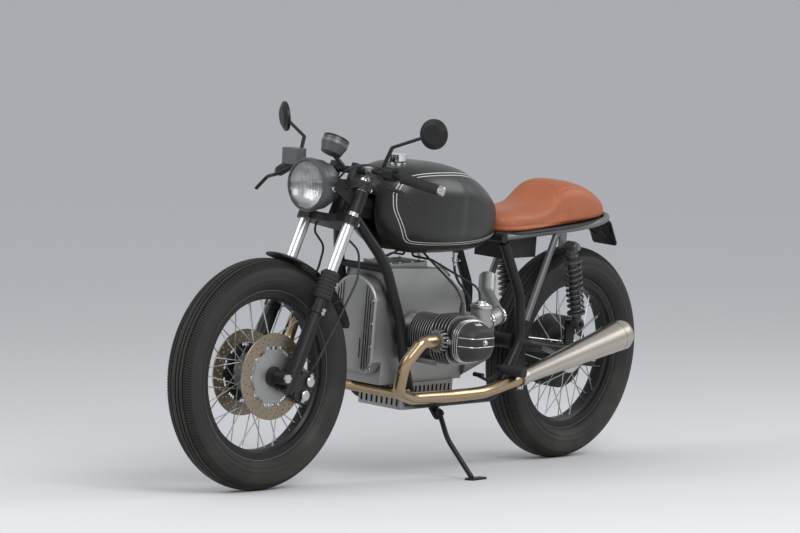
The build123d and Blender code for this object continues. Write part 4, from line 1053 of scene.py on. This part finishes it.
def makeGrips(settings):
    rubber, ends = [], []
    for side in (1, -1):
        end, inner = sided(settings["end"], side), sided(settings["inner"], side)
        line = (end - inner).normalized()
        length, radius = settings["length"], settings["radius"]
        profile = [(-length, 11.1), (-length, radius + 3), (-length + 5, radius + 3), (-length + 6, radius)]
        profile += ribbed(7 - length, -3, settings["ribs"], radius,
                          ((0.2, 0), (0.35, 0.9), (0.75, 0.9), (0.9, 0)))
        profile += [(-2, radius), (0, radius - 1), (0, 11.1)]
        rubber.append(turned(profile, end, line, 40))
        ends.append(turned([(0, 0.01), (0, 14.5), (4, 15.5), (16, 15.2), (19, 12.5), (20, 9), (20, 0.01)],
                           end, line, 40))
    settle(joined(rubber), "gripRubbers", "fork", "gripRubber", ("grips",))
    settle(joined(ends), "barEnds", "fork", "brightSteel")


makeGrips(grips)

# Gauge: dark ring, grey band, ticks and a needle
gauge = {"place": (1192, 0, 1026), "axis": (-0.45, 0, 0.89), "radius": 40}


def makeGauge(settings):
    centre, axis, radius = Vector(settings["place"]), Vector(settings["axis"]), settings["radius"]
    ring = turned([(20, radius - 5), (22, radius - 4), (24, radius - 1.5), (24.6, radius),
                   (19, radius + 0.6), (19, radius - 5)], centre, axis, 72)
    settle(ring, "gaugeRing", "fork", "satinBlackPaint")
    band = turned([(2, radius - 1), (2, radius + 0.7), (9, radius + 0.7), (9, radius - 1)], centre, axis, 72)
    settle(band, "gaugeBand", "fork", "railGrey")
    turn = aimed(axis)
    marks = []
    for index in range(21):
        angle = math.radians(-225 + index * 13.5)
        long = 6 if index % 4 == 0 else 3.4
        mark = block((radius - 8 - long / 2, 0, 24.4), (long, 1.0, 0.5))
        mark.data.transform(Matrix.Translation(centre) @ turn @ Matrix.Rotation(angle, 4, "Z"))
        marks.append(mark)
    needle = turned([(24.2, 0.01), (24.2, 4.5), (26.5, 4), (26.5, 0.01)], centre, axis, 24)
    pointer = block((11, 0, 25.4), (30, 1.4, 0.5))
    pointer.data.transform(Matrix.Translation(centre) @ turn @ Matrix.Rotation(math.radians(-205), 4, "Z"))
    settle(joined(marks), "gaugeMarks", "fork", "stripeWhite", smooth=0)
    settle(joined([needle, pointer]), "gaugeNeedle", "fork", "needleRed", smooth=0)


makeGauge(gauge)

# Mirrors: glass face in a dark rim
mirrors = {"left": {"place": (1114, 336, 1086), "facing": (-0.96, -0.28, 0.0)},
           "right": {"place": (1076, -336, 1086), "facing": (-0.87, 0.48, 0.1)}}


def makeMirrorGlass(settings):
    faces, rims = [], []
    for key in ("left", "right"):
        centre, facing = Vector(settings[key]["place"]), Vector(settings[key]["facing"])
        faces.append(turned([(6.6, 0.01), (6.6, 41.5), (7.4, 41.5), (7.6, 0.01)], centre, facing, 64))
        rims.append(turned([(2, 44.5), (2, 45.8), (7.5, 45.8), (8.6, 44.6), (8.6, 42), (7, 41.6),
                            (7, 44.5)], centre, facing, 64))
    settle(joined(faces), "mirrorGlass", "fork", "mirrorFace")
    settle(joined(rims), "mirrorRims", "fork", "satinBlackPaint")


makeMirrorGlass(mirrors)
print("bar fittings made")

# Seat frame: one tube round the tail, stays and shock plates, then the pan and its piping
seatFrame = {
    "line": [(462, 98, 734), (360, 98, 739), (240, 98, 744), (120, 98, 750), (40, 98, 756), (-30, 93, 764),
             (-88, 72, 771), (-122, 40, 775), (-132, 0, 776)],
    "radius": 11, "stays": ((196, 96, 740), (320, 96, 466)), "shock": (172, 137, 700),
    "piping": 4.2,
}


def makeSeatFrame(settings):
    left = settings["line"]
    line = left + [(along, -across, up) for along, across, up in reversed(left[:-1])]
    tubes = [tube(line, settings["radius"], rings=10)]
    for side in (1, -1):
        tubes.append(tube([(along, side * across, up) for along, across, up in settings["stays"]],
                          settings["radius"], "POLY", 1))
        along, across, up = settings["shock"]
        tubes.append(tube([(along, side * 94, up), (along, side * (across + 24), up)], 8, "POLY", 1))
        tubes.append(bevelled(block((along, side * 101, up + 20), (34, 8, 56)), 2.5))
        tubes.append(boltAt(19, 9, (along, side * (across + 22), up), -side * math.pi / 2, "X"))
    settle(joined(tubes), "seatFrame", "chassis", "railGrey", ("seat_rails",))


makeSeatFrame(seatFrame)


def makeSeatPan(settings):
    rings = []
    for along, low, high, half in seat["stations"]:
        rail = 734 + (466 - along) * 0.0445 + (8 if along < 0 else 0)
        edge = max(half - 15, 12)
        bottom, top = rail - 4, low + 6
        flank = [(edge, bottom), (edge + 2, bottom + 4), (edge + 2, top - 3), (edge - 3, top)]
        flank += [(-across, up) for across, up in reversed(flank)]
        rings.append([(along, across, up) for across, up in flank])
    settle(skinned(rings), "seatPan", "chassis", "satinBlackPaint")
    edges = [(along, half + 1.0, low + 3.5) for along, low, high, half in seat["stations"]]
    around = edges + [(edges[-1][0] - 12, 0, edges[-1][2] + 1)]
    around += [(along, -across, up) for along, across, up in reversed(edges)]
    settle(tube(around, settings["piping"], rings=8, around=2), "seatPiping", "chassis", "satinBlackPaint")


makeSeatPan(seatFrame)
print("seat frame made")

# The two cylinders lie a little apart along the engine
engine = {"along": 855, "stagger": 17, "height": 462}


def cylinderAlong(side):
    return engine["along"] + side * engine["stagger"]


# Rocker covers: black domes with polished rings, polished lines and a centre nut
covers = {
    "from": 300,
    # distance out from the head, half width, half height
    "dome": [(0, 77, 66), (3.5, 77, 66), (4.5, 74.5, 63.5), (26, 72.5, 61.5), (27, 71.5, 60.5),
             (40, 67, 57), (52, 62, 52.5), (62, 56.5, 47.5), (68.5, 50.5, 41.5), (72, 42, 34), (73, 26, 21)],
    "rings": [(7, 75.4, 64.4), (14, 74.8, 63.8), (21, 74.2, 63.2)], "lines": (-9, 17), "power": 2.7,
}


def makeCovers(settings):
    domes, rings, nuts = [], [], []
    for side in (1, -1):
        centre = cylinderAlong(side)

        def spots(out, wide, tall):
            outline = squareRound(wide, tall, settings["power"], 72)
            return [(centre + across, side * (settings["from"] + out), engine["height"] + up)
                    for across, up in outline]

        domes.append(skinned([spots(*station) for station in settings["dome"]]))
        for out, wide, tall in settings["rings"]:
            band = ((0, -4), (0, 0), (0.6, 0.9), (2.6, 0.9), (3.2, 0), (3.2, -4))
            rings.append(skinned([spots(out + shift, wide + grow, tall + grow) for shift, grow in band]))
        for height in settings["lines"]:
            path = []
            for out, wide, tall in settings["dome"][4:]:
                share = max(0.0, 1 - abs(height / tall) ** settings["power"]) ** (1 / settings["power"])
                path.append((centre + wide * share, side * (settings["from"] + out),
                             engine["height"] + height))
            back = [(2 * centre - along, across, up) for along, across, up in reversed(path)]
            middle = (centre, side * (settings["from"] + 73.4), engine["height"] + height)
            rings.append(tube(path + [middle] + back, 1.9, "POLY", 1, 2))
        for lead in (-12, -4, 4, 12):
            along, across = centre + lead * 0.5, side * (settings["from"] + 38 + lead)
            up = engine["height"] + 56.5 - lead * 0.2
            rings.append(tube([(along - 14, across, up), (along + 14, across, up)], 1.5, "POLY", 1, 2))
        nuts.append(turned([(71, 0.01), (71, 10), (73.5, 10), (73.5, 8), (78, 7.4), (80.5, 5), (81, 0.01)],
                           (centre, side * settings["from"], engine["height"] + 4), (0, side, 0), 24))
        for along in (-81, 81):
            nuts.append(boltAt(13, 9, (centre + along, side * (settings["from"] - 3), engine["height"]),
                               -side * math.pi / 2, "X"))
    settle(joined(domes), "rockerCovers", "chassis", "wrinkleBlack", ("valve_covers",), smooth=40)
    settle(joined(rings), "coverRings", "chassis", "brightSteel", smooth=40)
    settle(joined(nuts), "coverNuts", "chassis", "brightSteel")


makeCovers(covers)
print("rocker covers made")

# Engine fittings: case screws, intake clamps and sleeves, and carburettor tops
fittings = {"screw": 8.5, "clampFrom": (93, 178, 244), "clampRadius": 28.6}


# Where a side's intake starts at its head, and its direction
def intakeLine(side):
    start = Vector((cylinderAlong(side), side * 262, engine["height"] + 12))
    return start, Vector((-0.974, -side * 0.145, 0.175)).normalized()


def makeFittings(settings):
    spots = []
    for side in (1, -1):
        for along, up in ((1052, 352), (1052, 420), (1052, 490), (1052, 560)):
            spots.append(((along, side * 76, up), (1, 0, 0)))
        spots.append(((1052, side * 44, 345), (1, 0, 0)))
        for along in (790, 850, 910, 955):
            spots.append(((along, side * 50, 666), (0, 0, 1)))
    settle(bolts(settings["screw"], 4, spots), "caseScrews", "chassis", "brightSteel")
    clamps, sleeves, tops = [], [], []
    for side in (1, -1):
        start, line = intakeLine(side)
        for distance in settings["clampFrom"]:
            radius = settings["clampRadius"]
            clamps.append(turned([(distance, radius - 3), (distance, radius), (distance + 7, radius),
                                  (distance + 7, radius - 3)], start, line, 48))
            spot = start + line * (distance + 3.5) + Vector((0, side * (radius + 1), 4))
            clamps.append(boltAt(7, 10, spot, math.pi / 2, "Y"))
        for profile in ([(84, 24), (84, 27.5), (90, 28), (104, 28), (106, 26.5), (106, 24)],
                        [(172, 24), (172, 27.6), (176, 28), (188, 28), (192, 26.5), (192, 24)]):
            sleeves.append(turned(profile, start, line, 48))
        body = start + line * 138
        tops.append(turned([(50, 0.01), (50, 33.5), (53, 34.5), (57, 34.5), (59, 32), (59.5, 26), (62, 25),
                            (66, 22), (67, 15), (72, 13.5), (73, 0.01)], body, steps=48))
        tops.append(turned([(-54, 31.6), (-52, 33), (-47, 33), (-45, 31.6), (-45, 29), (-54, 29)],
                           body, steps=48))
        tops.append(turned([(-62, 0.01), (-62, 7), (-54, 8), (-53, 0.01)], body, steps=24))
        for along, across in ((25, 12), (-25, -12), (12, -25), (-12, 25)):
            tops.append(boltAt(7.5, 4, (body.x + along, body.y + across, body.z + 58)))
    settle(joined(clamps), "intakeClamps", "chassis", "brightSteel")
    settle(joined(sleeves), "intakeSleeves", "chassis", "hoseRubber")
    settle(joined(tops), "carburettorTops", "chassis", "hubAlloy")


makeFittings(fittings)
print("engine fittings made")

# Muffler collars with their bolts, and a rolled ring at the seam
mufflerTrim = {"front": (440, 192, 308), "rear": (-14, 222, 424)}


def makeMufflerTrim(settings):
    parts = []
    for side in (1, -1):
        front, rear = sided(settings["front"], side), sided(settings["rear"], side)
        line = (rear - front).normalized()
        length = (rear - front).length
        parts.append(turned([(-12, 20), (-12, 25.4), (14, 25.4), (14, 20)], front, line, 48))
        parts.append(boltAt(10, 22, front + line + Vector((0, 0, -31)), math.pi / 2, "Y"))
        seam = length * 0.955
        radius = 22 + 26 * 0.955
        parts.append(turned([(seam - 2.5, radius - 3), (seam - 1.5, radius + 0.9),
                             (seam + 1.5, radius + 1.1), (seam + 2.5, radius - 3)], front, line, 72))
    settle(joined(parts), "mufflerTrim", "chassis", "mufflerSteel")


makeMufflerTrim(mufflerTrim)
print("mufflers trimmed")

# Rear drum's black shell with cooling ribs
drum = {"radius": 112, "from": -62, "to": 8, "ribs": 7}


def makeDrum(settings):
    radius, low, high = settings["radius"], settings["from"], settings["to"]
    profile = [(high + 0.4, 52), (high + 1.6, 52), (high + 1.6, radius + 0.4)]
    profile += ribbed(high, low, settings["ribs"], radius, ((0.15, 0.8), (0.25, 3), (0.6, 3), (0.7, 0.8)))
    profile += [(low - 1.6, radius + 0.4), (low - 1.6, 52), (low - 0.4, 52), (low - 0.4, radius + 0.2),
                (high + 0.4, radius + 0.2)]
    shell = turned(profile, (0, 0, 0), (0, 1, 0), 96)
    settle(shell, "drumShell", "rear_wheel", "satinBlackPaint")


makeDrum(drum)
print("drum shell made")

# Bar cables and a silver perch
cables = {
    "runs": [[(1156, 178, 950), (1186, 168, 932), (1218, 128, 916), (1222, 80, 900), (1205, 44, 880),
              (1190, 24, 872)],
             [(1158, 186, 966), (1196, 170, 986), (1232, 112, 972), (1228, 56, 930), (1196, 26, 900),
              (1188, 14, 892)],
             [(1156, -172, 948), (1190, -160, 936), (1220, -112, 926), (1216, -64, 900), (1196, -26, 884),
              (1188, -12, 880)],
             [(1158, -184, 966), (1200, -150, 980), (1226, -84, 960), (1214, -42, 920), (1188, -10, 900)]],
    "radius": 3.4, "perch": ((1150, 113, 957), (1159.4, 144, 959.6)),
}


def makeCables(settings):
    runs = [tube(points, settings["radius"], rings=10, around=2) for points in settings["runs"]]
    settle(joined(runs), "barCables", "fork", "hoseRubber")
    start, end = (Vector(spot) for spot in settings["perch"])
    line = (end - start).normalized()
    length = (end - start).length
    clamp = [turned([(0, 11), (0, 15.5), (2, 16.5), (length - 2, 16.5), (length, 15.5), (length, 11)],
                    start, line, 40)]
    for share in (0.28, 0.72):
        spot = start + line * (length * share) + Vector((12, 0, 8))
        clamp.append(boltAt(8, 9, spot, math.radians(58), "Y"))
    settle(joined(clamp), "barPerch", "fork", "hubAlloy")


makeCables(cables)
print("cables made")

# Front fender: a thin crowned strip with rolled edges and rounded ends, angles back from the wheel's top
fender = {
    "stations": [(6.0, 22), (6.8, 36), (8.4, 46), (11.5, 53), (17, 56.5), (26, 57.5), (36, 57.5),
                 (46, 57.5), (55, 57), (62, 55), (66, 50), (68.5, 41), (70, 28)],
    "crown": 368, "drop": 15, "thick": 2.4, "bead": 2.1, "across": 18,
}


def makeFender(settings):
    rings = []
    for angle, half in settings["stations"]:
        turn = math.radians(angle)
        outline = []
        for level, span in ((0, 1), (-settings["thick"], -1)):
            for index in range(settings["across"] + 1):
                share = span * (2 * index / settings["across"] - 1)
                across = half * share
                fall = settings["drop"] * (across / 57.5) ** 2
                roll = settings["bead"] * max(0.0, (abs(share) - 0.93) / 0.07)
                out = settings["crown"] - fall + (level + roll if level == 0 else level - roll * 0.4)
                outline.append((-out * math.sin(turn), across, out * math.cos(turn)))
        rings.append(outline)
    strip = skinned(rings)
    useModifier(strip, "SUBSURF", levels=1, render_levels=1)
    settle(strip, "frontFender", "fork", "satinBlackPaint", ("front_fender",), smooth=50, place="frontWheel")
    stays = []
    for side in (1, -1):
        stays.append(tube([(34, side * 50, 345), (34, side * 68, 346)], 6, "POLY", 1))
        stays.append(boltAt(13, 6, (34, side * 47, 345), side * math.pi / 2, "X"))
    settle(joined(stays), "fenderStays", "fork", "satinBlackPaint", place="forkLegs")


makeFender(fender)
print("fender made")

# Finned port nuts on the header pipes
portNut = {"out": 267, "from": 82, "to": 102, "radius": 29, "lobe": 3.4, "lobes": 14}


def makePortNuts(settings):
    nuts = []
    for side in (1, -1):
        centre = cylinderAlong(side)
        rings = []
        for along, shrink in ((settings["from"], 1.6), (settings["from"] + 1.5, 0),
                              (settings["to"] - 1.5, 0), (settings["to"], 1.6), (settings["to"], 7.5)):
            ring = []
            for index in range(settings["lobes"] * 8):
                angle = math.tau * index / (settings["lobes"] * 8)
                wave = max(-0.7, min(0.7, math.cos(settings["lobes"] * angle) * 1.6)) / 0.7
                lobe = settings["lobe"] if along < settings["to"] or shrink < 5 else 0
                radius = settings["radius"] + lobe * wave - shrink
                ring.append((centre + along, side * settings["out"] + radius * math.cos(angle),
                             engine["height"] + radius * math.sin(angle)))
            rings.append(ring)
        nuts.append(skinned(rings))
    settle(joined(nuts), "portNuts", "chassis", "brightSteel", smooth=30)


makePortNuts(portNut)
print("port nuts made")

# Tail bracket: a plate bent down behind the tail, on two arms
bracket = {"place": (-164, 0, 716), "wide": 96, "tall": 92}


def makeBracket(settings):
    parts = [bevelled(block((-124, 0, 762.6), (44, 70, 4)), 1.2)]
    for across in (-22, 22):
        parts.append(tube([(-130, across, 760), (-158, across, 752), (-176, across, 742)], 4, "POLY", 1))
        parts.append(tube([(-112, across, 761), (-110, across, 724), (-158, across, 706)], 4, "NURBS", 6))
    board = block((0, 0, 0), (5, settings["wide"], settings["tall"]))
    startEdit(board, "DESELECT", "EDGE")
    endEdit()
    for edge in board.data.edges:
        first, second = (board.data.vertices[index].co for index in edge.vertices)
        edge.select = abs(first.y - second.y) < 1 and abs(first.z - second.z) < 1
    bpy.ops.object.mode_set(mode="EDIT")
    bpy.ops.mesh.bevel(offset=9, segments=5)
    endEdit()
    board.data.transform(Matrix.Translation(settings["place"]) @ Matrix.Rotation(math.radians(30), 4, "Y"))
    parts.append(board)
    for across in (-30, 30):
        parts.append(boltAt(9, 4, (-155, across, 738), math.radians(-60), "Y"))
    settle(joined(parts), "tailPlate", "chassis", "satinBlackPaint", ("tail_bracket",), smooth=30)


makeBracket(bracket)
print("tail plate made")

# Pinch bolts on both yokes and caps over the stanchions, drawn in the fork legs' frame
yokes = {"forward": 34, "left": 93, "top": 654}


def makeYokeTrim(settings):
    caps, heads = [], []
    for side in (1, -1):
        spot = (settings["forward"], side * settings["left"], settings["top"] + 4)
        caps.append(turned([(0, 0.01), (0, 17), (6, 17), (8, 15), (9, 11), (13, 10), (14, 8), (14, 0.01)],
                           spot, steps=48))
        for up in (528, 641):
            heads.append(((settings["forward"] - 28, side * (settings["left"] + 1), up), (-1, 0, 0)))
    heads.append(((-6, 0, settings["top"] + 1), (0, 0, 1)))
    settle(joined(caps), "legCaps", "fork", "brightSteel", place="forkLegs")
    settle(bolts(12, 7, heads), "yokeBolts", "fork", "brightSteel", place="forkLegs")


makeYokeTrim(yokes)
print("yokes trimmed")

# Slider clamps with fender braces, and piston caps on the calipers, drawn in the fork legs' frame
legTrim = {"forward": 34, "left": 93, "clamp": (226, 244), "disc": 67, "caliper": (-38, 14)}


def makeLegTrim(settings):
    clamps, braces, caps = [], [], []
    low, high = settings["clamp"]
    forward, left = settings["forward"], settings["left"]
    for side in (1, -1):
        clamps.append(turned([(low, 21), (low, 25), (low + 2, 26.5), (high - 2, 26.5), (high, 25),
                              (high, 21)], (forward, side * left, 0), (0, 0, 1), 48))
        for up in (230, 240):
            caps.append(boltAt(8, 5, (forward - 3, side * (left + 25.5), up), -side * math.pi / 2, "X"))
        braces.append(tube([(forward - 22, side * (left - 8), 236), (forward - 60, side * (left - 22), 272),
                            (forward - 108, side * 66, 316)], 3.2, rings=8, around=2))
        along, up = settings["caliper"]
        for lead, lift in ((-4, 22), (-4, -22)):
            spot = (along + lead, side * (settings["disc"] + 27.6), up + lift)
            caps.append(turned([(0, 0.01), (0, 15.5), (4, 15.5), (6, 13), (6, 6), (4.4, 5), (4.4, 0.01)],
                               spot, (0, side, 0), 36))
        for lift in (-40, 40):
            caps.append(boltAt(9, 5, (along - 2, side * (settings["disc"] + 27.6), up + lift),
                               -side * math.pi / 2, "X"))
    settle(joined(clamps + braces), "sliderClamps", "fork", "satinBlackPaint", place="forkLegs")
    settle(joined(caps), "caliperCaps", "fork", "brightSteel", place="forkLegs")


makeLegTrim(legTrim)
print("legs trimmed")

# Fuel taps with hoses to the carburettors, and plug leads with their caps
fuel = {"tap": (668, 70, 688), "hose": 4.2, "lead": 3.4}


def makeFuelLines(settings):
    taps, hoses = [], []
    for side in (1, -1):
        along, across, up = settings["tap"]
        across *= side
        taps.append(turned([(4, 0.01), (4, 9), (-4, 9), (-5, 7), (-12, 7), (-13, 9.5), (-24, 9.5), (-26, 6),
                            (-30, 4.4), (-38, 4.4), (-38, 0.01)], (along, across, up), (0, 0, 1), 32))
        taps.append(tube([(along, across, up - 18), (along + 4, across + side * 24, up - 18)],
                         2.6, "POLY", 1, 2))
        start, line = intakeLine(side)
        body = start + line * 138
        hoses.append(tube([(along, across, up - 34), (along, across + side * 6, up - 74),
                           (along + 16, side * 150, up - 118), (body.x - 10, side * 206, body.z + 34),
                           (body.x - 6, body.y - side * 30, body.z + 14)],
                          settings["hose"], rings=10, around=2))
        centre = cylinderAlong(side)
        hoses.append(turned([(0, 0.01), (0, 8.5), (26, 8.5), (30, 6.5), (40, 6.5), (43, 4), (43, 0.01)],
                            (centre - 30, side * 252, 530), (-0.35, -side * 0.3, 0.89), 24))
        hoses.append(tube([(centre - 43, side * 241, 566), (centre - 52, side * 222, 596),
                           (centre - 60, side * 150, 640), (centre - 66, side * 84, 676),
                           (centre - 70, side * 40, 704)], settings["lead"], rings=10, around=2))
    settle(joined(taps), "fuelTaps", "chassis", "brightSteel")
    settle(joined(hoses), "fuelHoses", "chassis", "hoseRubber")


makeFuelLines(fuel)
print("fuel lines made")

# Ribbed rubbers on the foot pegs
pegs = {"along": 486, "up": 330, "from": 152, "to": 230, "radius": 12.2, "ribs": 11}


def makePegs(settings):
    low, high, radius = settings["from"], settings["to"], settings["radius"]
    profile = [(low - 3, radius), (low - 3, radius + 4), (low, radius + 4)]
    profile += ribbed(low, high, settings["ribs"], radius,
                      ((0.15, 1.2), (0.3, 2.6), (0.75, 2.6), (0.9, 1.2)))
    profile += [(high, radius + 4), (high + 4, radius + 3), (high + 5, 8), (high + 5, 0.01),
                (high + 1, 0.01), (high + 1, radius)]
    place = (settings["along"], 0, settings["up"])
    rubbers = [turned(profile, place, (0, side, 0), 40) for side in (1, -1)]
    settle(joined(rubbers), "pegRubbers", "chassis", "gripRubber")


makePegs(pegs)
print("pegs ribbed")

# Stage: a pale floor and soft daylight
stage = {"floorSize": 300, "floorColour": (0.66, 0.66, 0.67), "skyColour": (0.80, 0.81, 0.83),
         "skyLight": 0.62}


def makeStage(settings):
    bpy.ops.object.select_all(action="DESELECT")
    bpy.ops.mesh.primitive_plane_add(size=settings["floorSize"], location=(0.7, 0, 0))
    floor = bpy.context.object
    floor.name = "floor"
    paint, _, _ = newMaterial("floorPaint", Base_Color=(*settings["floorColour"], 1), Roughness=0.9)
    floor.data.materials.append(paint)
    sky = bpy.data.worlds.new("sky")
    bpy.context.scene.world = sky
    sky.use_nodes = True
    tree = sky.node_tree
    tree.nodes.clear()
    rays = addNode(tree, "ShaderNodeLightPath")
    seen = addNode(tree, "ShaderNodeMath", operation="MAXIMUM")
    link(tree, rays, "Is Camera Ray", seen, 0)
    link(tree, rays, "Is Transmission Ray", seen, 1)
    lit = addNode(tree, "ShaderNodeBackground", {"Color": (0.93, 0.96, 1.0, 1),
                                                 "Strength": settings["skyLight"]})
    shown = addNode(tree, "ShaderNodeBackground", {"Color": (*settings["skyColour"], 1)})
    mix = addNode(tree, "ShaderNodeMixShader")
    link(tree, seen, "Value", mix, "Fac")
    link(tree, lit, "Background", mix, 1)
    link(tree, shown, "Background", mix, 2)
    result = addNode(tree, "ShaderNodeOutputWorld")
    link(tree, mix, "Shader", result, "Surface")
    # place, aim, size, power
    lamps = [
        ((3.2, 4.6, 4.2), (0.7, 0, 0.5), 3.0, 210),
        ((4.8, -1.5, 3.4), (0.8, 0, 0.5), 2.5, 70),
        ((-3.5, 3.0, 3.2), (0.5, 0, 0.5), 2.5, 80),
    ]
    for place, aim, size, power in lamps:
        bpy.ops.object.light_add(type="AREA", location=place)
        lamp = bpy.context.object
        lamp.data.size = size
        lamp.data.energy = power
        lamp.rotation_euler = (Vector(aim) - Vector(place)).to_track_quat("-Z", "Y").to_euler()


makeStage(stage)
bpy.context.scene.view_settings.view_transform = "Standard"
print("stage set")
